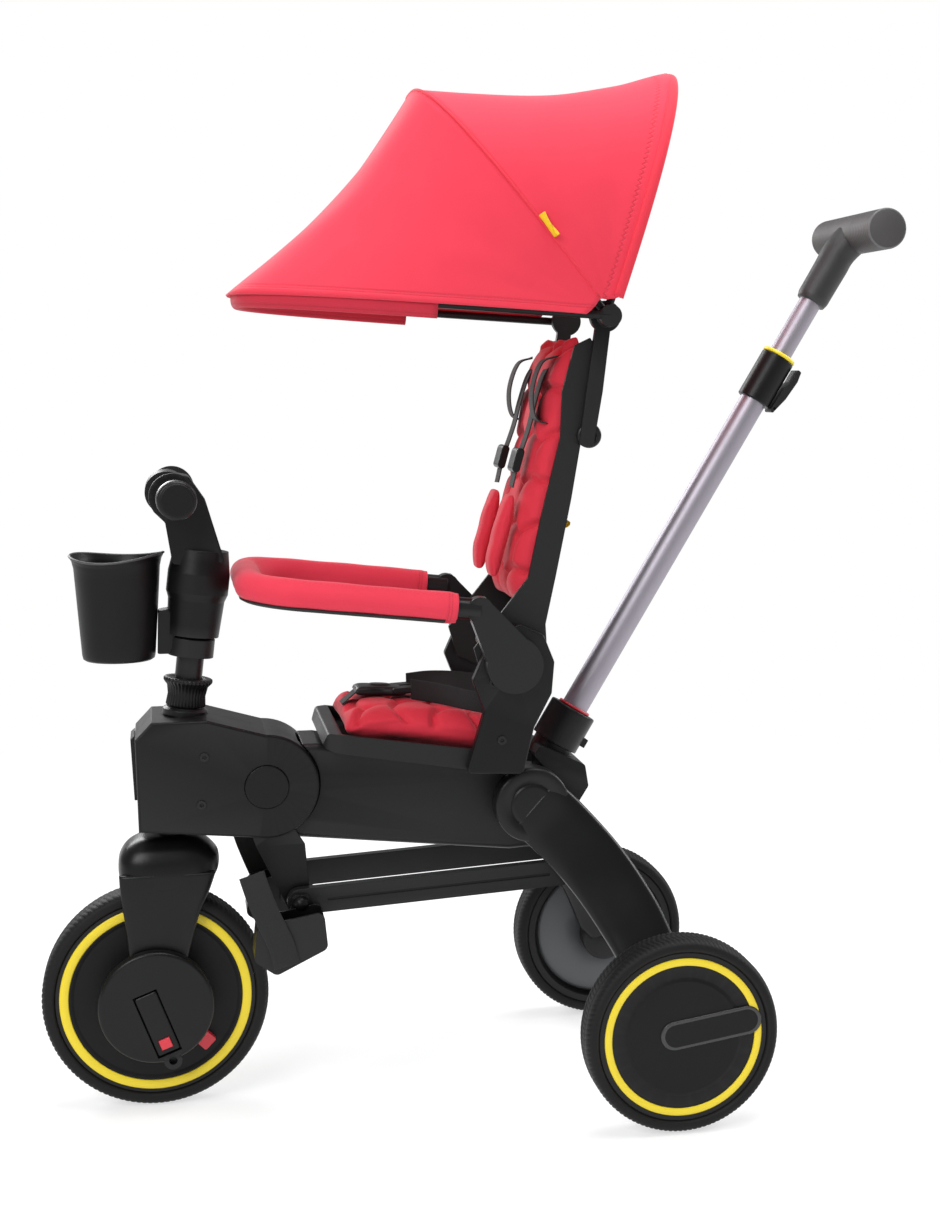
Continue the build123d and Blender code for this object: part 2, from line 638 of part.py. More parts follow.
def back_shell():
    """Bucket-shaped backrest shell: a back plate and two wings."""
    wing = [lift(480, 858), lift(463, 850), lift(449, 800), lift(447, 750), lift(425, 662), lift(411, 597), lift(372, 548)]
    wing += [lift(350, 520), lift(360, 485), lift(392, 470), lift(420, 486), lift(432, 510)]
    outline = polygon(*(wing + back_line()))
    shell = slab(outline, -BACK_HALF, BACK_HALF)
    inner = [lift(425, 440), lift(425, 548)]
    for x, z in back_line()[1:]:
        inner.append((x - 4.5, z))
    inner += [(back_line()[-1][0] - 4.5, lift(0, 900)[1]), lift(300, 900), lift(300, 440)]
    shell -= slab(polygon(*inner), -BACK_HALF + 5, BACK_HALF - 5)
    shell -= disc(SEAT_PIVOT, PIN_R, -BACK_HALF - 1, BACK_HALF + 1)
    return shell


def back_cushion():
    """Quilted cushion on the backrest."""
    front = [lift(392, 560), lift(402, 620), lift(418, 690), lift(432, 760), lift(446, 830), lift(456, 866), lift(474, 872)]
    rear = []
    for x, z in reversed(back_line()):
        rear.append((x - 6, z))
    return slab(polygon(*(front + rear)), -BACK_HALF + 7, BACK_HALF - 7)


def shoulder_pads():
    """Two pads that hang from the shoulder straps."""
    outline = fillet(polygon(lift(408, 690), lift(395, 694), lift(368, 600), lift(372, 588), lift(388, 588)).vertices(), 4)
    return both(slab(outline, -66, -26))


def shoulder_straps():
    """Webbing from the top of the backrest down to the pads."""
    outline = polygon(lift(438, 812), lift(434, 814), lift(404, 700), lift(407.5, 698))
    return both(slab(outline, -58, -34))


def seat_straps():
    """Crotch and waist webbing lying on the seat."""
    crotch = slab(polygon(lift(216, 454), lift(300, 450), lift(300, 453), lift(216, 457)), -14, 14)
    waist = slab(polygon(lift(301, 449.5), lift(366, 440), lift(366, 443), lift(301, 453)), -60, 60)
    return [crotch, waist]


def buckle():
    """Harness buckle lying on the crotch strap."""
    body = slab(rounded(3, lift(226, 457.5), lift(286, 454.5), lift(286, 468), lift(226, 470)), -21, 21)
    return fillet(body.edges().filter_by(Axis.Z, tolerance=20), 3)


# ---------------------------------------------------------------- bumper bar
BAR_FRONT_X = 110.0


def bumper_path():
    """Centre line of the loop, from one side bracket to the other."""
    start = lift(352, 566)
    front = lift(BAR_FRONT_X, 592)
    return FilletPolyline(
        vec(start, -BAR_Y), vec(front, -BAR_Y), vec(front, BAR_Y), vec(start, BAR_Y), radius=58
    )


def bumper_bar():
    """Tube loop with a moulded boss at each side."""
    path = bumper_path()
    section = Plane(origin=path @ 0, z_dir=path % 0) * Circle(BUMPER_TUBE_R)
    bar = sweep(section, path)
    y_in = BRACKET_IN + BRACKET_T + 2.2
    outline = Pos(*SEAT_PIVOT) * Circle(31) + Pos(*lift(352, 566)) * Circle(14.5)
    outline += polygon(lift(343, 553), lift(368, 486), lift(408, 528), lift(358, 580))
    boss = slab(outline, -y_in - 17, -y_in)
    pair = both(boss)
    return bar + pair[0] + pair[1]


def bumper_sleeve():
    """Padded sleeve around the loop."""
    path = bumper_path().trim(0.055, 0.945)
    plane = Plane(origin=path @ 0, z_dir=path % 0)
    return sweep(plane * (Circle(SLEEVE_R) - Circle(BUMPER_TUBE_R + 0.2)), path)


# ---------------------------------------------------------------- canopy
MID_TOP = lift(297, 1126)
REAR_TOP = lift(577, 1148)
FRONT_TIP = lift(95, 905)


def bow_point(tip, share, inset=0.0):
    """A point of a bow: share runs from -1 at the left hub over the tip at 0 to 1 at the right hub."""
    full = hypot(tip[0] - CANOPY_HUB[0], tip[1] - CANOPY_HUB[1])
    ex = (tip[0] - CANOPY_HUB[0]) / full
    ez = (tip[1] - CANOPY_HUB[1]) / full
    length = full - inset
    turn = share * pi / 2
    swell = (abs(cos(turn)) ** 3 + abs(sin(turn)) ** 3) ** (-1 / 3)
    out = length * swell * cos(turn)
    spread = 1 - (1 - min(1.0, out / (0.75 * length))) ** 2
    half = HUB_Y + (CANOPY_HALF - HUB_Y) * spread - inset
    return Vector(CANOPY_HUB[0] + ex * out, half * swell * sin(turn), CANOPY_HUB[1] + ez * out)


def bow(tip, hub_y):
    """Bow tube from hub to hub, as arcs and straight runs, with a disc at each hub."""
    shares = [-0.78, -0.62, -0.47, -0.34, 0.34, 0.47, 0.62, 0.78]
    points = [bow_point(tip, s, BOW_R + 4) for s in shares]
    points = [vec(CANOPY_HUB, -hub_y)] + points + [vec(CANOPY_HUB, hub_y)]
    path = FilletPolyline(*points, radius=24)
    tube = sweep(Plane(origin=path @ 0, z_dir=path % 0) * Circle(BOW_R), path)
    hubs = both(disc(CANOPY_HUB, 12, -hub_y - BOW_R + 0.2, -hub_y + BOW_R - 0.2))
    return tube + hubs[0] + hubs[1]


def cloth(first, second, low, high, sag):
    """A cloth panel between two bows, from share low to share high of the way, hollowed by sag."""
    rows = []
    for i in range(7):
        share = low + (high - low) * i / 6
        row = []
        for j in range(33):
            s = -0.77 + 1.54 * j / 32
            a = bow_point(first, s)
            b = bow_point(second, s)
            point = a + (b - a) * share
            inward = Vector(CANOPY_HUB[0], point.Y * 0.8, CANOPY_HUB[1]) - point
            pull = sag * sin(share * pi) * cos(s * pi / 2)
            row.append(point + inward.normalized() * pull)
        rows.append(row)
    face = Face.make_surface_from_array_of_points(rows)
    return Solid.thicken(face, CANOPY_CLOTH)


def canopy_front_panel():
    return cloth(MID_TOP, FRONT_TIP, 0.015, 1.0, 15)


def canopy_rear_panel():
    return cloth(REAR_TOP, MID_TOP, 0.0, 0.985, 15)


def canopy_arms():
    """Arms from the backrest up to the canopy hubs, with the rear bow fixed between them."""
    outline = polygon(lift(466, 742), lift(482, 742), lift(492, 800), lift(502, 881), lift(486, 881), lift(474, 800))
    arm = slab(outline, -HUB_Y + 1, -BACK_HALF - 0.3)
    hub = disc(CANOPY_HUB, 17, -HUB_Y + 1, -BACK_HALF - 0.3)
    arms = both(arm + hub)
    return arms[0] + arms[1] + bow(REAR_TOP, HUB_Y - BOW_R - 0.5)


# ---------------------------------------------------------------- head screws, and the list of nodes
def head_screws():
    """Screws that close the two head shells."""
    screws = []
    for centre in (lift(58, 403), lift(54, 350)):
        screws += both(screw(centre, -HEAD_HALF))
    return screws


def right(piece):
    """The right-hand copy of a left-hand piece."""
    return mirror(piece, Plane.XZ)


keep("main_beam", main_beam())
keep("rear_block", rear_block())
keep("push_socket", push_socket())
keep("socket_button", socket_button())
keep("seat_tray", seat_tray())
keep("seat_cushion", seat_cushion())
keep("side_brackets", *side_brackets())
keep("pivot_pins", *pivot_pins())
keep("frame_screws", *frame_screws())
keep("push_tube_lower", push_tube_lower())
keep("push_clamp", push_clamp())
keep("clamp_lever", clamp_lever())
keep("push_tube_upper", push_tube_upper())
keep("push_grip", push_grip())
keep("head_shell_left", head_shell())
keep("head_shell_right", right(head_shell()))
keep("head_cover", head_cover())
keep("head_bushes", *head_bushes())
keep("head_screws", *head_screws())
keep("footrest_hanger", *footrest_hanger())
keep("fold_button_left", fold_button())
keep("fold_button_right", right(fold_button()))
keep("fork", fork())
keep("steering_column", steering_column())
keep("steer_collar", steer_collar())
keep("handlebar", handlebar())
keep("bar_grips", *bar_grips())
keep("cup_holder", cup_holder())
keep("front_wheel", front_wheel())
keep("front_tyre", front_tyre())
keep("clutch_lever", clutch_lever())
keep("crank_axle", crank_axle())
keep("crank_discs", *both(crank_disc()))
keep("pedal_left", pedal())
keep("pedal_right", right(pedal()))
keep("pedal_button_left", pedal_button())
keep("pedal_button_right", right(pedal_button()))
keep("foot_cups", *foot_cups())
keep("foot_straps", *foot_straps())
keep("link_bar_left", link_bar())
keep("link_bar_right", right(link_bar()))
keep("rear_leg_left", rear_leg())
keep("rear_leg_right", right(rear_leg()))
keep("rear_wheel_left", rear_wheel())
keep("rear_wheel_right", right(rear_wheel()))
keep("rear_tyre_left", rear_tyre())
keep("rear_tyre_right", right(rear_tyre()))
keep("back_shell", back_shell())
keep("back_cushion", back_cushion())
keep("shoulder_pads", *shoulder_pads())
keep("shoulder_straps", *shoulder_straps())
keep("seat_straps", *seat_straps())
keep("buckle", buckle())
keep("bumper_bar", bumper_bar())
keep("bumper_sleeve", bumper_sleeve())
keep("canopy_arms", canopy_arms())
keep("canopy_mid_bow", bow(MID_TOP, HUB_Y - BOW_R - 0.5 + BOW_STEP))
keep("canopy_front_bow", bow(FRONT_TIP, HUB_Y - BOW_R - 0.5 + 2 * BOW_STEP))
keep("canopy_front_panel", canopy_front_panel())
keep("canopy_rear_panel", canopy_rear_panel())

# the widest side view runs from the front of the front tyre to the back of the push grip
CENTRE_X = (GRIP_CENTRE.X + PUSH_GRIP_R - FRONT_R) / 2
for name, solids in nodes.items():
    moved = [Pos(-CENTRE_X, 0, 0) * solid for solid in solids]
    shape = moved[0] if len(moved) == 1 else Compound(children=moved)
    export_step(shape, f"parts/{name}.step")
print(f"{len(nodes)} nodes, x shift {CENTRE_X:.3f} mm, steering point {on_steering(440)}, clamp pin {CLAMP_PIN}")
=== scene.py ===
"""Looks of a folding children's tricycle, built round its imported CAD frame.

Lengths in the code are millimetres in the drawing frame: x back from the front axle, y to the rider's
right and z up. ``place`` moves them into the model's own frame in metres.
"""
from __future__ import annotations

import logging
import math
from dataclasses import dataclass, field
from enum import Enum

import bmesh
import bpy
import numpy as np
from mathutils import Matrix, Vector

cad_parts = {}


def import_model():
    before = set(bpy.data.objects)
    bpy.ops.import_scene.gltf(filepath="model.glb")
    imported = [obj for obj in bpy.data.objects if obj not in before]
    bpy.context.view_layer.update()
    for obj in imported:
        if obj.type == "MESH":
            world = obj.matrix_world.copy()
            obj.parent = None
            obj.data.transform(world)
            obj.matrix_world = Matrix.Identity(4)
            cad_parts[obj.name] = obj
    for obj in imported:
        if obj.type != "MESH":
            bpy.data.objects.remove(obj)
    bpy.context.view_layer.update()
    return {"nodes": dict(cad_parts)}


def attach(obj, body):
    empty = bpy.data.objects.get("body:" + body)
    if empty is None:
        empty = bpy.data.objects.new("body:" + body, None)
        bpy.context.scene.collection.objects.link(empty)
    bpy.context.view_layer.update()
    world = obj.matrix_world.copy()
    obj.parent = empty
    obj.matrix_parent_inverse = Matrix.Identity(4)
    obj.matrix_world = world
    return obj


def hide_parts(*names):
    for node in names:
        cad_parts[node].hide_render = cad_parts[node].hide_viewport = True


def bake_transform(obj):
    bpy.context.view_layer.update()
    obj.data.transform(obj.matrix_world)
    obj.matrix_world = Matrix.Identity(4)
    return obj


LOG = logging.getLogger("tricycle")
CENTRE_X = 359.6
HUB = np.array([495.0, 0.0, 881.0])
MID_TOP = (297.0, 1126.0)
REAR_TOP = (577.0, 1148.0)
FRONT_TIP = (95.0, 905.0)
STEER_LEAN = math.radians(6.9)
PUSH_LEAN = math.radians(31.0)


# ---------------------------------------------------------------- geometry helpers
def place(points: np.ndarray) -> np.ndarray:
    """Millimetres in the drawing frame to metres in the model's frame.

    Args:
        points: array of shape (..., 3).
    Returns:
        The same points, moved and scaled.
    """
    moved = np.array(points, float)
    moved[..., 0] -= CENTRE_X
    return moved * 0.001


def smooth(x: np.ndarray, low: float, high: float) -> np.ndarray:
    """Smooth step from 0 at low to 1 at high."""
    t = np.clip((x - low) / (high - low), 0.0, 1.0)
    return t * t * (3 - 2 * t)


def curve_through(points: list[tuple[float, ...]], count: int) -> np.ndarray:
    """Evenly spaced points of the Catmull-Rom curve through the given points.

    Args:
        points: knots of any dimension.
        count: how many points come back.
    Returns:
        Array of shape (count, dimension).
    """
    knots = np.array(points, float)
    ends = np.vstack([2 * knots[0] - knots[1], knots, 2 * knots[-1] - knots[-2]])
    t = np.linspace(0, len(knots) - 1 - 1e-9, count * 6)
    i = t.astype(int)
    f = (t - i)[:, None]
    a, b, c, d = ends[i], ends[i + 1], ends[i + 2], ends[i + 3]
    dense = 0.5 * (2 * b + (c - a) * f + (2 * a - 5 * b + 4 * c - d) * f**2 + (3 * b - a - 3 * c + d) * f**3)
    run = run_along(dense)
    even = np.linspace(0, run[-1], count)
    return np.stack([np.interp(even, run, dense[:, k]) for k in range(dense.shape[1])], axis=1)


def run_along(path: np.ndarray) -> np.ndarray:
    """Distance from the first point of a path to each of its points."""
    return np.concatenate([[0], np.cumsum(np.linalg.norm(np.diff(path, axis=0), axis=1))])


def grid_faces(rows: int, cols: int, wrap_rows: bool, wrap_cols: bool) -> np.ndarray:
    """Quads of a grid of rows times cols vertices, numbered row by row."""
    r = np.arange(rows if wrap_rows else rows - 1)
    c = np.arange(cols if wrap_cols else cols - 1)
    rr, cc = np.meshgrid(r, c, indexing="ij")
    r2, c2 = (rr + 1) % rows, (cc + 1) % cols
    quads = np.stack([rr * cols + cc, rr * cols + c2, r2 * cols + c2, r2 * cols + cc], axis=-1)
    return quads.reshape(-1, 4)


def make_object(name: str, verts: np.ndarray, faces: list[list[int]],
                uv: np.ndarray | None = None) -> bpy.types.Object:
    """A smooth-shaded mesh object with its place in its mesh.

    Args:
        name: object name.
        verts: vertices in the drawing frame, in millimetres, shape (n, 3).
        faces: vertex numbers of each face.
        uv: pattern coordinates per vertex, in metres, or None.
    Returns:
        The object, linked to the scene.
    """
    mesh = bpy.data.meshes.new(name)
    mesh.from_pydata(place(verts).tolist(), [], faces)
    mesh.update()
    mesh.polygons.foreach_set("use_smooth", np.ones(len(mesh.polygons), bool))
    if uv is not None:
        layer = mesh.uv_layers.new(name="Pattern")
        loops = np.zeros(len(mesh.loops), np.int32)
        mesh.loops.foreach_get("vertex_index", loops)
        layer.data.foreach_set("uv", uv[loops].astype(np.float32).ravel())
    made = bpy.data.objects.new(name, mesh)
    bpy.context.scene.collection.objects.link(made)
    return made


def face_out(made: bpy.types.Object, merge: float = 1e-6) -> bpy.types.Object:
    """Merge doubles and turn every face outwards."""
    work = bmesh.new()
    work.from_mesh(made.data)
    bmesh.ops.remove_doubles(work, verts=work.verts, dist=merge)
    bmesh.ops.recalc_face_normals(work, faces=work.faces)
    work.to_mesh(made.data)
    work.free()
    made.data.update()
    return made


def tube_grid(path: np.ndarray, section: np.ndarray, up: np.ndarray) -> np.ndarray:
    """Section points carried along a path, turned square to it.

    Args:
        path: (n, 3) points.
        section: (m, 2) or (n, m, 2) offsets along side and up.
        up: direction that the section's second axis keeps close to.
    Returns:
        (n, m, 3) points.
    """
    ahead = np.gradient(path, axis=0)
    ahead /= np.linalg.norm(ahead, axis=1)[:, None]
    side = np.cross(ahead, up)
    side /= np.linalg.norm(side, axis=1)[:, None]
    top = np.cross(side, ahead)
    shape = np.broadcast_to(section, (len(path),) + section.shape[-2:])
    return path[:, None] + shape[..., :1] * side[:, None] + shape[..., 1:] * top[:, None]


def closed_tube(name: str, grid: np.ndarray, uv: np.ndarray | None = None) -> bpy.types.Object:
    """Tube skin from a (n, m, 3) grid whose sections close on themselves, with flat ends."""
    rows, cols = grid.shape[:2]
    faces = grid_faces(rows, cols, False, True).tolist()
    faces.append(list(range(cols))[::-1])
    faces.append([(rows - 1) * cols + k for k in range(cols)])
    flat = None if uv is None else uv.reshape(-1, 2)
    return face_out(make_object(name, grid.reshape(-1, 3), faces, flat))


def turned(name: str, centre: np.ndarray, axis: np.ndarray, profile: list[tuple[float, float]],
           steps: int = 96, ripple: float = 0.0, ripples: int = 0) -> bpy.types.Object:
    """Surface of revolution: profile (radius, along) turned about an axis, ripple mm deep flutes if asked.

    Args:
        name: object name.
        centre: point on the axis where along is 0.
        axis: direction of the axis.
        profile: closed outline when its first and last radius are 0 or its ends meet.
        steps: segments round the axis.
        ripple: depth of flutes on the profile.
        ripples: number of flutes.
    Returns:
        The object.
    """
    axis = np.array(axis, float) / np.linalg.norm(axis)
    helper = np.array([1.0, 0, 0]) if abs(axis[0]) < 0.8 else np.array([0, 0, 1.0])
    side = np.cross(axis, helper)
    side /= np.linalg.norm(side)
    other = np.cross(axis, side)
    turn = np.linspace(0, 2 * math.pi, steps, endpoint=False)
    outline = np.array(profile, float)
    radius = outline[:, :1] - ripple * (0.5 + 0.5 * np.cos(ripples * turn))[None]
    radius = np.where(outline[:, :1] < 1e-6, 0, radius)
    grid = (np.array(centre, float) + outline[:, 1][:, None, None] * axis
            + radius[..., None] * (np.cos(turn)[:, None] * side + np.sin(turn)[:, None] * other))
    wrap = bool(np.allclose(outline[0], outline[-1]))
    grid = grid[:-1] if wrap else grid
    faces = grid_faces(len(grid), steps, wrap, True).tolist()
    return face_out(make_object(name, grid.reshape(-1, 3), faces))


def ribbon(name: str, path: np.ndarray, half: float, thick: float, across: np.ndarray) -> bpy.types.Object:
    """Flat strap of rounded section carried along a path, with pattern coordinates along it in metres."""
    turn = np.linspace(0, 2 * math.pi, 20, endpoint=False)
    cos, sin = np.cos(turn), np.sin(turn)
    section = np.stack([half * np.sign(cos) * np.abs(cos) ** 0.25,
                        thick / 2 * np.sign(sin) * np.abs(sin) ** 0.6], axis=1)
    ahead = np.gradient(path, axis=0)
    ahead /= np.linalg.norm(ahead, axis=1)[:, None]
    side = np.broadcast_to(np.array(across, float), path.shape)
    side = side - np.sum(side * ahead, axis=1)[:, None] * ahead
    side /= np.linalg.norm(side, axis=1)[:, None]
    top = np.cross(side, ahead)
    grid = path[:, None] + section[None, :, :1] * side[:, None] + section[None, :, 1:] * top[:, None]
    run = run_along(path) * 0.001
    uv = np.stack(np.broadcast_arrays(run[:, None], section[None, :, 0] * 0.001), axis=-1)
    return closed_tube(name, grid, uv)


def finish_edges(made: bpy.types.Object, width: float, segments: int = 3,
                 angle: float = 35.0) -> bpy.types.Object:
    """Bevel modifier for edges sharper than angle; width in millimetres."""
    bevel = made.modifiers.new("SoftEdge", "BEVEL")
    bevel.width = width * 0.001
    bevel.segments = segments
    bevel.limit_method = "ANGLE"
    bevel.angle_limit = math.radians(angle)
    return made


def plate(name: str, outline: np.ndarray, y_low: float, y_high: float,
          width: float = 1.2) -> bpy.types.Object:
    """Flat plate: an outline in x and z given depth in y, its edges rounded."""
    count = len(outline)
    low = np.stack([outline[:, 0], np.full(count, y_low), outline[:, 1]], axis=1)
    high = low.copy()
    high[:, 1] = y_high
    faces = [list(range(count)), [count + k for k in range(count)][::-1]]
    faces += [[k, (k + 1) % count, count + (k + 1) % count, count + k] for k in range(count)]
    made = face_out(make_object(name, np.vstack([low, high]), faces))
    made.data.polygons.foreach_set("use_smooth", np.zeros(len(made.data.polygons), bool))
    return finish_edges(made, width)


def capsule(start: tuple[float, float], end: tuple[float, float], radius: float,
            count: int = 48) -> np.ndarray:
    """Outline of a straight slot with round ends, in x and z."""
    a, b = np.array(start, float), np.array(end, float)
    lean = math.atan2(b[1] - a[1], b[0] - a[0])
    turn = np.linspace(-math.pi / 2, math.pi / 2, count // 2) + lean
    far = b + radius * np.stack([np.cos(turn), np.sin(turn)], axis=1)
    near = a + radius * np.stack([np.cos(turn + math.pi), np.sin(turn + math.pi)], axis=1)
    return np.vstack([far, near])


def inflate(made: bpy.types.Object, cap: float, pressure: float = 4.0,
            voxel: float = 5.0) -> bpy.types.Object:
    """Stuff a closed shape: remesh it, blow it up as cloth, and keep each point within cap of its start.

    Args:
        made: closed piece in its place.
        cap: largest move of a point, in millimetres.
        pressure: cloth pressure.
        voxel: remesh size in millimetres.
    Returns:
        The same object with a finer, fuller mesh.
    """
    bpy.context.view_layer.objects.active = made
    remesh = made.modifiers.new("Remesh", "REMESH")
    remesh.mode = "VOXEL"
    remesh.voxel_size = voxel * 0.001
    bpy.ops.object.select_all(action="DESELECT")
    made.select_set(True)
    bpy.ops.object.modifier_apply(modifier=remesh.name)
    count = len(made.data.vertices)
    before = np.zeros(count * 3)
    made.data.vertices.foreach_get("co", before)
    frames = 20
    cloth = made.modifiers.new("Stuffing", "CLOTH")
    cloth.settings.use_pressure = True
    cloth.settings.uniform_pressure_force = pressure
    cloth.settings.effector_weights.gravity = 0.0
    cloth.settings.quality = 4
    cloth.point_cache.frame_start = 1
    cloth.point_cache.frame_end = frames
    for frame_number in range(1, frames + 1):
        bpy.context.scene.frame_set(frame_number)
    bpy.ops.object.modifier_apply(modifier=cloth.name)
    bpy.context.scene.frame_set(1)
    after = np.zeros(count * 3)
    made.data.vertices.foreach_get("co", after)
    move = (after - before).reshape(-1, 3)
    length = np.linalg.norm(move, axis=1)[:, None] + 1e-12
    kept = before.reshape(-1, 3) + move / length * np.minimum(length, cap * 0.001)
    made.data.vertices.foreach_set("co", kept.ravel())
    made.data.update()
    finer = made.modifiers.new("Finer", "SUBSURF")
    finer.levels = finer.render_levels = 1
    bpy.ops.object.modifier_apply(modifier=finer.name)
    made.data.polygons.foreach_set("use_smooth", np.ones(len(made.data.polygons), bool))
    return made


def mesh_points(made: bpy.types.Object) -> tuple[np.ndarray, np.ndarray]:
    """Vertices in the drawing frame in millimetres, and their normals."""
    count = len(made.data.vertices)
    co, normal = np.zeros(count * 3), np.zeros(count * 3)
    made.data.vertices.foreach_get("co", co)
    made.data.vertices.foreach_get("normal", normal)
    points = co.reshape(-1, 3) * 1000
    points[:, 0] += CENTRE_X
    return points, normal.reshape(-1, 3)


def set_points(made: bpy.types.Object, points: np.ndarray) -> None:
    """Write vertices back from the drawing frame."""
    made.data.vertices.foreach_set("co", place(points).ravel())
    made.data.update()


# ---------------------------------------------------------------- shader groups
def new_group(name: str, inputs: list[tuple[str, str, object]],
              outputs: list[tuple[str, str]]) -> bpy.types.NodeTree:
    """An empty shader node group with named sockets and its input and output nodes."""
    group = bpy.data.node_groups.new(name, "ShaderNodeTree")
    for socket_name, kind, value in inputs:
        socket = group.interface.new_socket(socket_name, in_out="INPUT", socket_type=kind)
        if value is not None:
            socket.default_value = value
    for socket_name, kind in outputs:
        group.interface.new_socket(socket_name, in_out="OUTPUT", socket_type=kind)
    group.nodes.new("NodeGroupInput").name = "In"
    group.nodes.new("NodeGroupOutput").name = "Out"
    return group


def maths(tree: bpy.types.NodeTree, operation: str, *values: object) -> bpy.types.NodeSocket:
    """A math node; each value is a number or a socket."""
    node = tree.nodes.new("ShaderNodeMath")
    node.operation = operation
    for i, value in enumerate(values):
        if isinstance(value, (int, float)):
            node.inputs[i].default_value = value
        else:
            tree.links.new(value, node.inputs[i])
    return node.outputs[0]


def noise(tree: bpy.types.NodeTree, where: bpy.types.NodeSocket, scale: float,
          detail: float) -> bpy.types.NodeSocket:
    """Noise value at a coordinate; scale is in cycles per metre."""
    node = tree.nodes.new("ShaderNodeTexNoise")
    node.inputs["Scale"].default_value = scale
    node.inputs["Detail"].default_value = detail
    tree.links.new(where, node.inputs["Vector"])
    return node.outputs["Fac"]


def mix_colour(tree: bpy.types.NodeTree, share: object, first: object,
               second: object) -> bpy.types.NodeSocket:
    """Colour between first at share 0 and second at share 1; each is a colour or a socket."""
    node = tree.nodes.new("ShaderNodeMix")
    node.data_type = "RGBA"
    # a Mix node has one set of sockets per data type; the colour set is Factor 0, A 6, B 7 and Result 2
    for socket, value in ((node.inputs[0], share), (node.inputs[6], first), (node.inputs[7], second)):
        if isinstance(value, bpy.types.NodeSocket):
            tree.links.new(value, socket)
        elif isinstance(value, (int, float)):
            socket.default_value = value
        else:
            socket.default_value = (*value[:3], 1.0)
    return node.outputs[2]


def moulded_group() -> bpy.types.NodeTree:
    """Moulded plastic, metal or rubber: fine spark grain, slow shine variation, softened edges and a painted
    highlight on convex edges.

    Inputs: Colour, Edge Highlight Colour, Roughness, Grain (bump height share), Edge (share of the painted
    edge highlight).
    Outputs: Colour, Roughness, Normal.
    """
    group = new_group(
        "MouldedSurface",
        [("Colour", "NodeSocketColor", (0.02, 0.02, 0.02, 1)),
         ("Worn Colour", "NodeSocketColor", (0.1, 0.1, 0.1, 1)),
         ("Roughness", "NodeSocketFloat", 0.4), ("Grain", "NodeSocketFloat", 0.3),
         ("Edge", "NodeSocketFloat", 0.3)],
        [("Colour", "NodeSocketColor"), ("Roughness", "NodeSocketFloat"), ("Normal", "NodeSocketVector")],
    )
    nodes, links = group.nodes, group.links
    source, out = nodes["In"], nodes["Out"]
    where = nodes.new("ShaderNodeTexCoord").outputs["Object"]
    spark = nodes.new("ShaderNodeTexVoronoi")
    spark.inputs["Scale"].default_value = 1900
    links.new(where, spark.inputs["Vector"])
    slow = noise(group, where, 14, 3)
    fine = noise(group, where, 420, 2)
    bevel = nodes.new("ShaderNodeBevel")
    bevel.samples = 4
    bevel.inputs["Radius"].default_value = 0.0012
    bump = nodes.new("ShaderNodeBump")
    bump.inputs["Distance"].default_value = 0.00012
    links.new(source.outputs["Grain"], bump.inputs["Strength"])
    height = maths(group, "ADD", spark.outputs["Distance"], maths(group, "MULTIPLY", fine, 0.5))
    links.new(height, bump.inputs["Height"])
    links.new(bevel.outputs["Normal"], bump.inputs["Normal"])
    # painted highlight: convex edges, found from pointiness, are mixed towards the lighter second colour
    shape = nodes.new("ShaderNodeNewGeometry")
    edge = maths(group, "MULTIPLY", maths(group, "SUBTRACT", shape.outputs["Pointiness"], 0.515), 14.0)
    edge = maths(group, "MINIMUM", maths(group, "MAXIMUM", edge, 0.0), 1.0)
    edge = maths(group, "MULTIPLY", edge, source.outputs["Edge"])
    shade = maths(group, "MULTIPLY", maths(group, "SUBTRACT", slow, 0.5), 0.22)
    rough = maths(group, "ADD", source.outputs["Roughness"], shade)
    links.new(rough, out.inputs["Roughness"])
    links.new(mix_colour(group, edge, source.outputs["Colour"], source.outputs["Worn Colour"]),
              out.inputs["Colour"])
    links.new(bump.outputs["Normal"], out.inputs["Normal"])
    return group


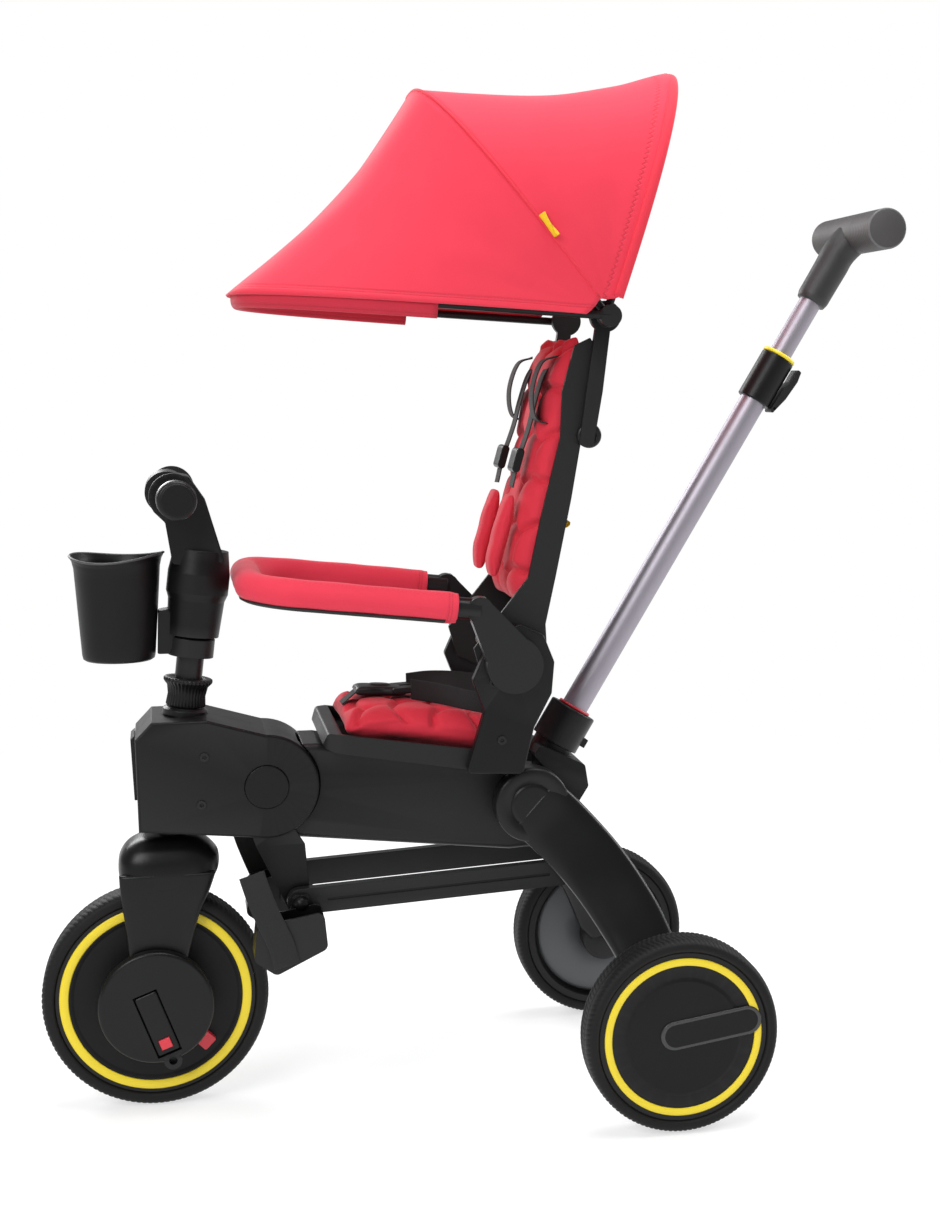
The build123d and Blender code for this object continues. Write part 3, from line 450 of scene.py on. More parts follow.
def woven_group() -> bpy.types.NodeTree:
    """Woven cloth: crossing threads as bump, painted shade between the threads, small random colour changes
    and soft creases.

    Inputs: Colour, Shade And Tone Colour (painted as shade between the threads and in random darker
    patches), Threads (per metre), Weave, Crease.
    Outputs: Colour, Roughness, Normal.
    """
    group = new_group(
        "WovenSurface",
        [("Colour", "NodeSocketColor", (0.8, 0.05, 0.1, 1)),
         ("Deep Colour", "NodeSocketColor", (0.4, 0.02, 0.05, 1)),
         ("Threads", "NodeSocketFloat", 1400.0), ("Weave", "NodeSocketFloat", 0.3),
         ("Crease", "NodeSocketFloat", 0.3)],
        [("Colour", "NodeSocketColor"), ("Roughness", "NodeSocketFloat"), ("Normal", "NodeSocketVector")],
    )
    nodes, links = group.nodes, group.links
    source, out = nodes["In"], nodes["Out"]
    where = nodes.new("ShaderNodeTexCoord").outputs["Object"]
    split = nodes.new("ShaderNodeSeparateXYZ")
    links.new(where, split.inputs[0])
    threads = source.outputs["Threads"]
    first = maths(group, "ADD", split.outputs["X"], split.outputs["Z"])
    second = maths(group, "ADD", maths(group, "SUBTRACT", split.outputs["X"], split.outputs["Z"]),
                   split.outputs["Y"])
    warp = maths(group, "SINE", maths(group, "MULTIPLY", first, maths(group, "MULTIPLY", threads, 4.4)))
    weft = maths(group, "SINE", maths(group, "MULTIPLY", second, maths(group, "MULTIPLY", threads, 4.4)))
    weave = maths(group, "ADD", maths(group, "MULTIPLY", maths(group, "MULTIPLY", warp, weft), 0.5), 0.5)
    soft = noise(group, where, 26, 3)
    fibre = noise(group, where, 900, 2)
    crease = nodes.new("ShaderNodeTexNoise")
    crease.noise_type = "RIDGED_MULTIFRACTAL"
    crease.inputs["Scale"].default_value = 9
    crease.inputs["Detail"].default_value = 2
    links.new(where, crease.inputs["Vector"])
    folds = nodes.new("ShaderNodeBump")
    folds.inputs["Distance"].default_value = 0.004
    links.new(source.outputs["Crease"], folds.inputs["Strength"])
    links.new(maths(group, "ADD", soft, maths(group, "MULTIPLY", crease.outputs["Fac"], 0.15)),
              folds.inputs["Height"])
    bump = nodes.new("ShaderNodeBump")
    bump.inputs["Distance"].default_value = 0.0002
    links.new(source.outputs["Weave"], bump.inputs["Strength"])
    links.new(maths(group, "ADD", weave, maths(group, "MULTIPLY", fibre, 0.4)), bump.inputs["Height"])
    links.new(folds.outputs["Normal"], bump.inputs["Normal"])
    # painted shade: the hollows between the crossing threads are darkened towards the second colour; the
    # slow noise adds random darker and lighter patches
    gap_shade = maths(group, "MULTIPLY", maths(group, "SUBTRACT", 1.0, weave), 0.35)
    shade_and_tone = maths(group, "ADD", gap_shade, maths(group, "MULTIPLY", maths(group, "SUBTRACT", soft, 0.5), 0.25))
    shade_and_tone = maths(group, "MINIMUM", maths(group, "MAXIMUM", shade_and_tone, 0.0), 1.0)
    links.new(mix_colour(group, shade_and_tone, source.outputs["Colour"], source.outputs["Deep Colour"]),
              out.inputs["Colour"])
    links.new(maths(group, "ADD", 0.72, maths(group, "MULTIPLY", fibre, 0.2)), out.inputs["Roughness"])
    links.new(bump.outputs["Normal"], out.inputs["Normal"])
    return group


def stitch_group() -> bpy.types.NodeTree:
    """Line of thread on pattern coordinates: dashes along U at a set V.

    Inputs: Line (V of the seam, metres), Pitch, Half Width, Zigzag (sideways swing, metres).
    Outputs: Thread (1 on the thread), Hollow (1 near the seam line).
    """
    group = new_group(
        "StitchLine",
        [("Line", "NodeSocketFloat", 0.01), ("Pitch", "NodeSocketFloat", 0.004),
         ("Half Width", "NodeSocketFloat", 0.0005), ("Zigzag", "NodeSocketFloat", 0.0)],
        [("Thread", "NodeSocketFloat"), ("Hollow", "NodeSocketFloat")],
    )
    nodes, links = group.nodes, group.links
    source, out = nodes["In"], nodes["Out"]
    uv = nodes.new("ShaderNodeUVMap")
    uv.uv_map = "Pattern"
    split = nodes.new("ShaderNodeSeparateXYZ")
    links.new(uv.outputs[0], split.inputs[0])
    phase = maths(group, "FRACT", maths(group, "DIVIDE", split.outputs["X"], source.outputs["Pitch"]))
    swing = maths(group, "MULTIPLY", maths(group, "ABSOLUTE", maths(group, "SUBTRACT", phase, 0.5)), 4.0)
    swing = maths(group, "MULTIPLY", maths(group, "SUBTRACT", swing, 1.0), source.outputs["Zigzag"])
    off = maths(group, "SUBTRACT", maths(group, "SUBTRACT", split.outputs["Y"], source.outputs["Line"]),
                swing)
    off = maths(group, "ABSOLUTE", off)
    near = maths(group, "LESS_THAN", off, source.outputs["Half Width"])
    dash = maths(group, "GREATER_THAN", phase, 0.22)
    links.new(maths(group, "MULTIPLY", near, dash), out.inputs["Thread"])
    wide = maths(group, "DIVIDE", off, maths(group, "MULTIPLY", source.outputs["Half Width"], 5.0))
    links.new(maths(group, "SUBTRACT", 1.0, maths(group, "MINIMUM", wide, 1.0)), out.inputs["Hollow"])
    return group


GROUPS: dict[str, bpy.types.NodeTree] = {}


def use_group(tree: bpy.types.NodeTree, name: str, **values: object) -> bpy.types.Node:
    """Place a shared group in a material, with its inputs by name; underscores stand for spaces."""
    if name not in GROUPS:
        makers = {"moulded": moulded_group, "woven": woven_group, "stitch": stitch_group}
        GROUPS[name] = makers[name]()
    node = tree.nodes.new("ShaderNodeGroup")
    node.node_tree = GROUPS[name]
    for key, value in values.items():
        socket = node.inputs[key.replace("_", " ")]
        if isinstance(value, tuple):
            socket.default_value = (*value[:3], 1.0)
        else:
            socket.default_value = value
    return node


class Surface(Enum):
    """The kinds of surface on the tricycle."""

    MOULDED = "moulded"
    WOVEN = "woven"
    METAL = "metal"
    RUBBER = "rubber"


@dataclass(frozen=True)
class Finish:
    """A named finish, from which its material is made once."""

    name: str
    kind: Surface
    colour: tuple[float, float, float]
    # second: the colour painted on convex edges of a moulded finish as a highlight; on a woven finish,
    # painted as shade between the threads and in random darker patches; also the stitches' colour
    second: tuple[float, float, float]
    roughness: float = 0.45
    grain: float = 0.3
    # share of the lighter colour painted on convex edges as a highlight
    edge_highlight: float = 0.3
    threads: float = 1300.0
    crease: float = 0.2
    sheen: float = 0.0
    coat: float = 0.0
    specular: float = 0.5
    seams: tuple[tuple[float, float, float], ...] = ()

    def material(self) -> bpy.types.Material:
        """The material of this finish, made on first use."""
        found = bpy.data.materials.get(self.name)
        if found:
            return found
        made = bpy.data.materials.new(self.name)
        made.use_nodes = True
        tree = made.node_tree
        shader = tree.nodes["Principled BSDF"]
        shader.inputs["Specular IOR Level"].default_value = self.specular
        if self.kind is Surface.WOVEN:
            node = use_group(tree, "woven", Colour=self.colour, Deep_Colour=self.second,
                             Threads=self.threads, Weave=self.grain, Crease=self.crease)
            shader.inputs["Sheen Weight"].default_value = self.sheen
            shader.inputs["Sheen Roughness"].default_value = 0.4
        else:
            node = use_group(tree, "moulded", Colour=self.colour, Worn_Colour=self.second,
                             Roughness=self.roughness, Grain=self.grain, Edge=self.edge_highlight)
        if self.kind is Surface.METAL:
            shader.inputs["Metallic"].default_value = 1.0
        shader.inputs["Coat Weight"].default_value = self.coat
        shader.inputs["Coat Roughness"].default_value = 0.25
        colour, normal = node.outputs["Colour"], node.outputs["Normal"]
        for line, pitch, swing in self.seams:
            seam = use_group(tree, "stitch", Line=line, Pitch=pitch, Zigzag=swing)
            shown = maths(tree, "MULTIPLY", seam.outputs["Thread"], 0.55)
            colour = mix_colour(tree, shown, colour, self.second)
            groove = tree.nodes.new("ShaderNodeBump")
            groove.invert = True
            groove.inputs["Distance"].default_value = 0.0009
            groove.inputs["Strength"].default_value = 0.7
            raised = maths(tree, "MULTIPLY", seam.outputs["Thread"], 0.8)
            depth = maths(tree, "SUBTRACT", seam.outputs["Hollow"], raised)
            tree.links.new(depth, groove.inputs["Height"])
            tree.links.new(normal, groove.inputs["Normal"])
            normal = groove.outputs["Normal"]
        tree.links.new(colour, shader.inputs["Base Color"])
        tree.links.new(node.outputs["Roughness"], shader.inputs["Roughness"])
        tree.links.new(normal, shader.inputs["Normal"])
        return made

    def dress(self, made: bpy.types.Object) -> bpy.types.Object:
        """Put this finish on a piece."""
        made.data.materials.clear()
        made.data.materials.append(self.material())
        return made


# The second colour of each moulded finish is painted on its convex edges as a highlight; that of each woven
# finish is painted as shade between the threads, in random darker patches and on the stitches.
BLACK = Finish("SatinBlackPlastic", Surface.MOULDED, (0.004, 0.004, 0.0044), (0.03, 0.03, 0.031), 0.38, 0.25,
               0.4, specular=0.24)
BLACK_SMOOTH = Finish("SmoothBlackPlastic", Surface.MOULDED, (0.0036, 0.0036, 0.004), (0.03, 0.03, 0.031),
                      0.33, 0.1, 0.35, specular=0.27)
BLACK_MATT = Finish("MattBlackPlastic", Surface.MOULDED, (0.005, 0.005, 0.0054), (0.035, 0.035, 0.035), 0.5,
                    0.5, 0.35, specular=0.22)
CUP_BLACK = Finish("CupBlackPlastic", Surface.MOULDED, (0.0036, 0.0036, 0.004), (0.04, 0.04, 0.04), 0.42,
                   0.3, 0.2, specular=0.24)
CUP_LIP = Finish("CupGreyLip", Surface.MOULDED, (0.05, 0.05, 0.052), (0.12, 0.12, 0.12), 0.45, 0.3, 0.2)
TUBE = Finish("AnodisedTube", Surface.METAL, (0.36, 0.335, 0.38), (0.36, 0.335, 0.38), 0.5, 0.0, 0.0)
STEEL = Finish("MachinedSteel", Surface.METAL, (0.42, 0.42, 0.43), (0.6, 0.6, 0.6), 0.3, 0.2, 0.2)
TYRE = Finish("TyreFoam", Surface.RUBBER, (0.006, 0.006, 0.006), (0.04, 0.04, 0.04), 0.6, 0.9, 0.3,
              specular=0.24)
GRIP = Finish("TaupeGripRubber", Surface.RUBBER, (0.05, 0.046, 0.047), (0.1, 0.1, 0.1), 0.55, 0.8, 0.2)
GRIP_END = Finish("GripEndGrey", Surface.MOULDED, (0.1, 0.1, 0.105), (0.2, 0.2, 0.2), 0.4, 0.4, 0.2)
RED = Finish("CoralWovenCloth", Surface.WOVEN, (0.76, 0.028, 0.056), (0.50, 0.012, 0.032), grain=0.35,
             crease=0.18, sheen=0.15)
RED_PAD = Finish("CoralPadCloth", Surface.WOVEN, (0.70, 0.024, 0.050), (0.42, 0.008, 0.022), grain=0.3,
                 crease=0.3, sheen=0.15)
RED_CANOPY = Finish("CoralCanopyCloth", Surface.WOVEN, (0.80, 0.036, 0.072), (0.55, 0.015, 0.04),
                    threads=1800, grain=0.2, crease=0.08, sheen=0.12,
                    seams=((0.010, 0.0035, 0.0), (0.0135, 0.0035, 0.0)))
RED_REAR = Finish("CoralRearPanelCloth", Surface.WOVEN, (0.80, 0.036, 0.072), (0.5, 0.012, 0.035),
                  threads=1800, grain=0.2, crease=0.08, sheen=0.12, seams=((0.016, 0.006, 0.0018),))
RED_DARK = Finish("CoralBandCloth", Surface.WOVEN, (0.55, 0.018, 0.045), (0.36, 0.008, 0.02), grain=0.4,
                  crease=0.2, sheen=0.1, seams=((0.004, 0.0035, 0.0),))
RED_PLASTIC = Finish("RedPlastic", Surface.MOULDED, (0.62, 0.012, 0.03), (0.8, 0.1, 0.12), 0.35, 0.15, 0.2)
YELLOW = Finish("YellowPlastic", Surface.MOULDED, (0.86, 0.66, 0.012), (0.9, 0.75, 0.1), 0.4, 0.15, 0.2)
YELLOW_TAPE = Finish("YellowWovenTag", Surface.WOVEN, (0.86, 0.55, 0.01), (0.6, 0.36, 0.005), grain=0.5,
                     crease=0.1)
WEBBING = Finish("BlackWebbing", Surface.WOVEN, (0.011, 0.011, 0.012), (0.003, 0.003, 0.003), threads=700,
                 grain=0.8, crease=0.1, sheen=0.1)
GREY_DISC = Finish("InnerWheelGrey", Surface.MOULDED, (0.09, 0.095, 0.1), (0.2, 0.2, 0.2), 0.5, 0.3, 0.2)
SLEEVE_CLOTH = Finish("CoralSleeveCloth", Surface.WOVEN, (0.78, 0.036, 0.075), (0.48, 0.012, 0.03),
                      grain=0.3, crease=0.3, sheen=0.15,
                      seams=((0.007, 0.0032, 0.0), (0.010, 0.0032, 0.0)))
STEEL_MATT = Finish("SilverGreyRing", Surface.METAL, (0.36, 0.36, 0.37), (0.6, 0.6, 0.6), 0.42, 0.2, 0.2)
GRIP_NECK = Finish("CharcoalNeck", Surface.MOULDED, (0.02, 0.02, 0.021), (0.07, 0.07, 0.07), 0.5, 0.5, 0.25)
BADGE = Finish("BadgeBlack", Surface.MOULDED, (0.03, 0.03, 0.031), (0.1, 0.1, 0.1), 0.25, 0.1, 0.3)


# ---------------------------------------------------------------- shared places
def on_steering(height: float) -> np.ndarray:
    """Point of the steering axis at a height above the ground."""
    return np.array([(height - 125.0) * math.tan(STEER_LEAN), 0.0, height])


def on_push(along: float) -> np.ndarray:
    """Point of the push tube's axis, along it from its foot."""
    return np.array([480 + math.sin(PUSH_LEAN) * along, 0.0, 428 + math.cos(PUSH_LEAN) * along])


STEER_AXIS = np.array([math.sin(STEER_LEAN), 0.0, math.cos(STEER_LEAN)])
PUSH_AXIS = np.array([math.sin(PUSH_LEAN), 0.0, math.cos(PUSH_LEAN)])


def bow_line(tip: tuple[float, float], share: np.ndarray, hub_half: float, half: float,
             inset: float = 0.0) -> np.ndarray:
    """Points of a canopy bow: a rounded arch in the plane through the hub axis and the tip.

    Args:
        tip: top of the bow in x and z.
        share: -1 at the left hub, 0 at the tip, 1 at the right hub.
        hub_half: half width at the hub.
        half: half width at the tip.
        inset: how far inside the outline.
    Returns:
        (..., 3) points.
    """
    reach = math.hypot(tip[0] - HUB[0], tip[1] - HUB[2])
    ex, ez = (tip[0] - HUB[0]) / reach, (tip[1] - HUB[2]) / reach
    length = reach - inset
    turn = share * math.pi / 2
    swell = (np.abs(np.cos(turn)) ** 3 + np.abs(np.sin(turn)) ** 3) ** (-1 / 3)
    out = length * swell * np.cos(turn)
    spread = 1 - (1 - np.minimum(1.0, out / (0.75 * length))) ** 2
    wide = hub_half + (half - hub_half) * spread - inset
    return np.stack([HUB[0] + ex * out, wide * swell * np.sin(turn), HUB[2] + ez * out], axis=-1)


def thick_sheet(name: str, outer: np.ndarray, thick: float, inside: np.ndarray,
                uv: np.ndarray) -> bpy.types.Object:
    """Closed cloth sheet: an outer grid and the same grid moved inwards, joined by a strip round the rim.

    Args:
        name: object name.
        outer: (n, m, 3) outer surface.
        thick: cloth thickness.
        inside: a point on the hollow side.
        uv: (n, m, 2) pattern coordinates.
    Returns:
        The object.
    """
    du, dv = np.gradient(outer, axis=0), np.gradient(outer, axis=1)
    normal = np.cross(du, dv)
    normal /= np.linalg.norm(normal, axis=-1)[..., None] + 1e-9
    facing = np.sign(np.sum(normal * (outer - inside), axis=-1)).mean()
    normal = normal * (1.0 if facing >= 0 else -1.0)
    rows, cols = outer.shape[:2]
    inner = outer - normal * thick
    count = rows * cols
    faces = grid_faces(rows, cols, False, False)
    back = faces[:, ::-1] + count
    rim = np.concatenate([np.arange(cols), np.arange(1, rows) * cols + cols - 1,
                          (rows - 1) * cols + np.arange(cols - 2, -1, -1),
                          np.arange(rows - 2, 0, -1) * cols])
    nxt = np.roll(rim, -1)
    edge = np.stack([rim, nxt, nxt + count, rim + count], axis=1)
    every = np.vstack([faces, back, edge]).tolist()
    pattern = np.concatenate([uv.reshape(-1, 2), uv.reshape(-1, 2)])
    made = make_object(name, np.vstack([outer.reshape(-1, 3), inner.reshape(-1, 3)]), every, pattern)
    return face_out(made)


def pillow(name: str, front: np.ndarray, rear: np.ndarray, half: float, y_mid: float = 0.0,
           power: float = 6.0) -> bpy.types.Object:
    """Closed pad between two lines in the side view, its thickness falling to nothing at its four edges.

    Args:
        name: object name.
        front: (n, 2) line of the front or top face, in x and z.
        rear: (n, 2) line of the rear or bottom face.
        half: half width in y.
        y_mid: middle of the pad in y.
        power: the higher, the fuller towards the edges.
    Returns:
        The object.
    """
    rows, cols = len(front), 41
    a = np.linspace(-1, 1, rows)[:, None]
    b = np.linspace(-1, 1, cols)[None, :]
    full = np.sqrt(np.clip((1 - np.abs(a) ** power) * (1 - np.abs(b) ** power), 0, 1))
    middle = (front + rear) / 2
    top = middle[:, None] + (front - middle)[:, None] * full[..., None]
    low = middle[:, None] + (rear - middle)[:, None] * full[..., None]
    y = y_mid + half * np.broadcast_to(b, full.shape) * (1 - 0.03 * a**8)
    upper = np.stack([top[..., 0], y, top[..., 1]], axis=-1)
    lower = np.stack([low[..., 0], y, low[..., 1]], axis=-1)
    count = rows * cols
    faces = grid_faces(rows, cols, False, False)
    every = np.vstack([faces, faces[:, ::-1] + count]).tolist()
    return face_out(make_object(name, np.vstack([upper.reshape(-1, 3), lower.reshape(-1, 3)]), every), 1e-5)


# ---------------------------------------------------------------- sub-assemblies
@dataclass
class Wheels:
    """Tyres, coloured rings, hub faces and badges of the three wheels."""

    front_radius: float = 125.0
    front_half: float = 23.0
    rear_radius: float = 107.5
    rear_outer: float = 222.0
    rear_width: float = 44.0
    front_centre: tuple[float, float] = (0.0, 125.0)
    rear_centre: tuple[float, float] = (557.0, 107.5)
    tread_depth: float = 0.9

    def tyre(self, name: str, node: str, body: str, centre: tuple[float, float], y_mid: float, radius: float,
             half: float, depth: float) -> bpy.types.Object:
        """Tyre with a rounded tread, cut by fine slanted grooves across its running face.

        Args:
            name: object name.
            node: CAD node it stands for.
            body: body it rides on.
            centre: axle in x and z.
            y_mid: middle of the tyre in y.
            radius: rolling radius.
            half: half width.
            depth: radial depth down to the rim.
        Returns:
            The tyre.
        """
        steps = 720
        wall = [(half - 9, radius - 0.2), (half - 2.2, radius - 3), (half, radius - 8),
                (half - 0.6, radius - depth + 2), (half - 4.4, radius - depth)]
        mirrored = [(-y, r) for y, r in reversed(wall)]
        across = curve_through([*mirrored, (0, radius), *wall], 44)
        y = np.clip(across[:, 0], -half, half)
        r = np.minimum(across[:, 1], radius)
        turn = np.linspace(0, 2 * math.pi, steps, endpoint=False)[None]
        groove = smooth(np.cos(turn * 120 + np.abs(y[:, None]) * 0.35), 0.1, 0.9)
        ring = np.exp(-((np.abs(y[:, None]) - 7.0) / 0.9) ** 2)
        tread = smooth(r, radius - 5, radius - 1.5)[:, None]
        radial = r[:, None] - self.tread_depth * np.maximum(groove * 0.8, ring) * tread
        grid = np.stack([centre[0] + radial * np.cos(turn),
                         np.broadcast_to(y_mid + y[:, None], radial.shape),
                         centre[1] + radial * np.sin(turn)], axis=-1)
        faces = grid_faces(len(y), steps, True, True).tolist()
        made = face_out(make_object(name, grid.reshape(-1, 3), faces))
        TYRE.dress(made)
        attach(made, body)
        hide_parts(node)
        return made

    def ring(self, name: str, body: str, centre: tuple[float, float], y: float, out: float, low: float,
             high: float) -> None:
        """Flat coloured ring let into a wheel face; out is -1 or 1, the way it faces."""
        profile = [(low, 0.0), (low, 1.0), (low + 0.8, 1.6), (high - 0.8, 1.6), (high, 1.0), (high, 0.0),
                   (low, 0.0)]
        made = turned(name, np.array([centre[0], y, centre[1]]), np.array([0, out, 0]), profile, 128)
        YELLOW.dress(made)
        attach(made, body)

    def build(self) -> list[bpy.types.Object]:
        """All wheel pieces."""
        made = [self.tyre("front_tread", "front_tyre", "front_wheel", self.front_centre, 0.0,
                          self.front_radius, self.front_half, 15.0)]
        for side, out in (("left", -1), ("right", 1)):
            self.ring(f"front_ring_{side}", "front_wheel", self.front_centre, out * 19.9, out, 95.5, 105.5)
            body = f"rear_wheel_{side}"
            middle = out * (self.rear_outer - self.rear_width / 2)
            made.append(self.tyre(f"rear_tread_{side}", f"rear_tyre_{side}", body, self.rear_centre, middle,
                                  self.rear_radius, self.rear_width / 2, 14.0))
            self.ring(f"rear_ring_{side}", body, self.rear_centre, out * 218.4, out, 79.5, 87.6)
            made.append(self.badge(side, out))
            made.append(self.inner_disc(side, out))
        return made

    def badge(self, side: str, out: int) -> bpy.types.Object:
        """Blank raised name plate from the middle of a rear wheel to its rim, with a sunk field."""
        low, high = sorted((out * 218.6, out * 221.8))
        made = plate(f"rear_badge_{side}", capsule((547, 110), (628, 122), 16), low, high, 1.4)
        BADGE.dress(made)
        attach(made, f"rear_wheel_{side}")
        low, high = sorted((out * 221.7, out * 221.95))
        sunk = plate(f"rear_badge_field_{side}", capsule((548, 110), (627, 122), 12.5), low, high, 0.1)
        BLACK_MATT.dress(sunk)
        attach(sunk, f"rear_wheel_{side}")
        return made

    def inner_disc(self, side: str, out: int) -> bpy.types.Object:
        """Grey dished cover on the inner side of a rear wheel."""
        profile = [(24, 0), (24, 2.5), (50, 3.4), (76, 2.5), (80, 0.4), (80, 0), (24, 0)]
        made = turned(f"rear_inner_{side}", np.array([557, out * 191.9, 107.5]), np.array([0, -out, 0]),
                      profile, 96)
        GREY_DISC.dress(made)
        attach(made, f"rear_wheel_{side}")
        return made


@dataclass
class Canopy:
    """Two cloth panels over three bows, with hems, a seam, a brim band and a tag."""

    hub_half: float = 137.0
    half: float = 150.0
    cloth: float = 2.2
    rows: int = 33
    cols: int = 141
    reach: float = 0.955

    def surface(self, first: tuple[float, float], second: tuple[float, float], sag: float,
                edge_lift: float) -> tuple[np.ndarray, np.ndarray]:
        """Panel between two bows: straight from bow to bow, hollowed by a sine of the way across.

        Args:
            first: tip of the bow at row 0.
            second: tip of the bow at the last row.
            sag: depth of the hollow at the middle.
            edge_lift: how far the row-0 edge flares out at its tip.
        Returns:
            Points and pattern coordinates; V is the distance from row 0.
        """
        across = np.linspace(0, 1, self.rows)[:, None]
        share = np.linspace(-self.reach, self.reach, self.cols)[None, :]
        wide = np.broadcast_to(share, (self.rows, self.cols))
        a = bow_line(first, wide, self.hub_half, self.half)
        b = bow_line(second, wide, self.hub_half, self.half)
        points = a + (b - a) * across[..., None]
        inward = np.array([HUB[0], 0, HUB[2]]) + points * np.array([0, 0.8, 0]) - points
        inward /= np.linalg.norm(inward, axis=-1)[..., None]
        round_top = np.cos(wide * math.pi / 2) ** 0.8
        near_hub = smooth(np.abs(wide), 0.55, 0.95)
        pull = sag * np.sin(across * math.pi) * round_top
        puckers = near_hub * (1 - near_hub) * 4 * np.sin(across * math.pi) * np.sin(across * 21 + 2 * wide)
        pull = pull - 1.6 * puckers
        pull = pull + 0.9 * np.sin(across * math.pi) * np.sin(wide * 19 + across * 5) * np.sin(across * 9)
        pull = pull - edge_lift * (1 - smooth(across, 0, 0.2)) * round_top**4
        points = points + inward * pull[..., None]
        run = np.concatenate([np.zeros((self.rows, 1)),
                              np.cumsum(np.linalg.norm(np.diff(points, axis=1), axis=-1), axis=1)], axis=1)
        down = np.concatenate([np.zeros((1, self.cols)),
                               np.cumsum(np.linalg.norm(np.diff(points, axis=0), axis=-1), axis=0)], axis=0)
        return points, np.stack([run, down], axis=-1) * 0.001

    def fold_line(self, first: tuple[float, float],
                  second: tuple[float, float]) -> tuple[list[float], list[float]]:
        """Start and end of a strip through the hub, square to the middle line between a panel's bows."""
        lean = [math.atan2(tip[1] - HUB[2], tip[0] - HUB[0]) for tip in (first, second)]
        middle = sum(lean) / 2
        across = np.array([math.sin(middle), 0, -math.cos(middle)])
        centre = np.array([HUB[0], 0, HUB[2]])
        sign = 1 if lean[0] < middle else -1
        return place(centre + sign * 60 * across).tolist(), place(centre - sign * 60 * across).tolist()

    def build(self) -> list[bpy.types.Object]:
        """Panels, hems, brim, seam and tag."""
        made: list[bpy.types.Object] = []
        inside = np.array([380.0, 0.0, 900.0])
        points, uv = self.surface(FRONT_TIP, MID_TOP, 17.0, 2.0)
        front = thick_sheet("canopy_front_cloth", points, self.cloth, inside, uv)
        RED_CANOPY.dress(front)
        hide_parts("canopy_front_panel")
        start, end = self.fold_line(FRONT_TIP, MID_TOP)
        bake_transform(front)
        points, uv = self.surface(REAR_TOP, MID_TOP, 13.0, 5.0)
        rear = thick_sheet("canopy_rear_cloth", points, self.cloth, inside, uv)
        RED_REAR.dress(rear)
        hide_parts("canopy_rear_panel")
        start, end = self.fold_line(REAR_TOP, MID_TOP)
        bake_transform(rear)
        made += [front, rear, self.brim(), self.seam(), self.tag(), self.hem()]
        return made

    def brim(self) -> bpy.types.Object:
        """Darker rolled band under the front edge, round the front bow, ending in square tabs."""
        share = np.linspace(-0.705, 0.705, 121)
        path = bow_line(FRONT_TIP, share, self.hub_half - 5, self.half, 9.0)
        path[:, 2] -= 5.0 - 2.0 * np.cos(share * math.pi / 2)
        turn = np.linspace(0, 2 * math.pi, 28, endpoint=False)
        section = np.stack([6.0 * np.cos(turn), 11.5 * np.sign(np.sin(turn)) * np.abs(np.sin(turn)) ** 0.8],
                           axis=1)
        grid = tube_grid(path, section, np.array([0, 0, 1.0]))
        run = run_along(path) * 0.001
        uv = np.stack(np.broadcast_arrays(run[:, None], (section[None, :, 1] + 11.5) * 0.001), axis=-1)
        made = closed_tube("canopy_brim_band", grid, uv)
        RED_DARK.dress(made)
        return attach(made, "canopy_front")

    def hem(self) -> bpy.types.Object:
        """Rounded hem roll along the rear edge."""
        share = np.linspace(-self.reach, self.reach, 141)
        path = bow_line(REAR_TOP, share, self.hub_half, self.half, -1.0)
        path += np.array([3.0, 0, 0]) * np.cos(share * math.pi / 2)[:, None] ** 2
        turn = np.linspace(0, 2 * math.pi, 20, endpoint=False)
        section = np.stack([2.6 * np.cos(turn), 5.5 * np.sin(turn)], axis=1)
        made = closed_tube("canopy_rear_hem", tube_grid(path, section, np.array([1.0, 0, 0.1])))
        RED.dress(made)
        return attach(made, "backrest")

    def seam(self) -> bpy.types.Object:
        """Raised seam over the middle bow, a fold of cloth with a fine line each side."""
        share = np.linspace(-0.95, 0.95, 141)
        path = bow_line(MID_TOP, share, self.hub_half, self.half, 0.4)
        turn = np.linspace(0, 2 * math.pi, 16, endpoint=False)
        section = np.stack([1.7 * np.cos(turn), 1.5 * np.sin(turn)], axis=1)
        made = closed_tube("canopy_seam", tube_grid(path, section, np.array([1.0, 0, -0.6])))
        RED.dress(made)
        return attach(made, "canopy_mid")

    def tag(self) -> bpy.types.Object:
        """Folded yellow tag sewn into the middle seam on the left."""
        spot = bow_line(MID_TOP, np.array([-0.79, -0.75]), self.hub_half, self.half, -1.5)
        along = (spot[1] - spot[0]) / np.linalg.norm(spot[1] - spot[0])
        out = np.array([0.0, -1.0, 0.25])
        middle = spot.mean(axis=0)
        steps = np.linspace(-math.pi / 2, math.pi / 2, 17)
        loop = np.stack([7.5 * np.cos(steps) ** 0.6, 2.0 * np.sin(steps)], axis=1)
        path = middle + loop[:, :1] * np.array([0.55, -0.5, 0.4]) + loop[:, 1:] * out
        made = ribbon("canopy_tag", path, 14.0, 0.9, along)
        YELLOW_TAPE.dress(made)
        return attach(made, "canopy_mid")


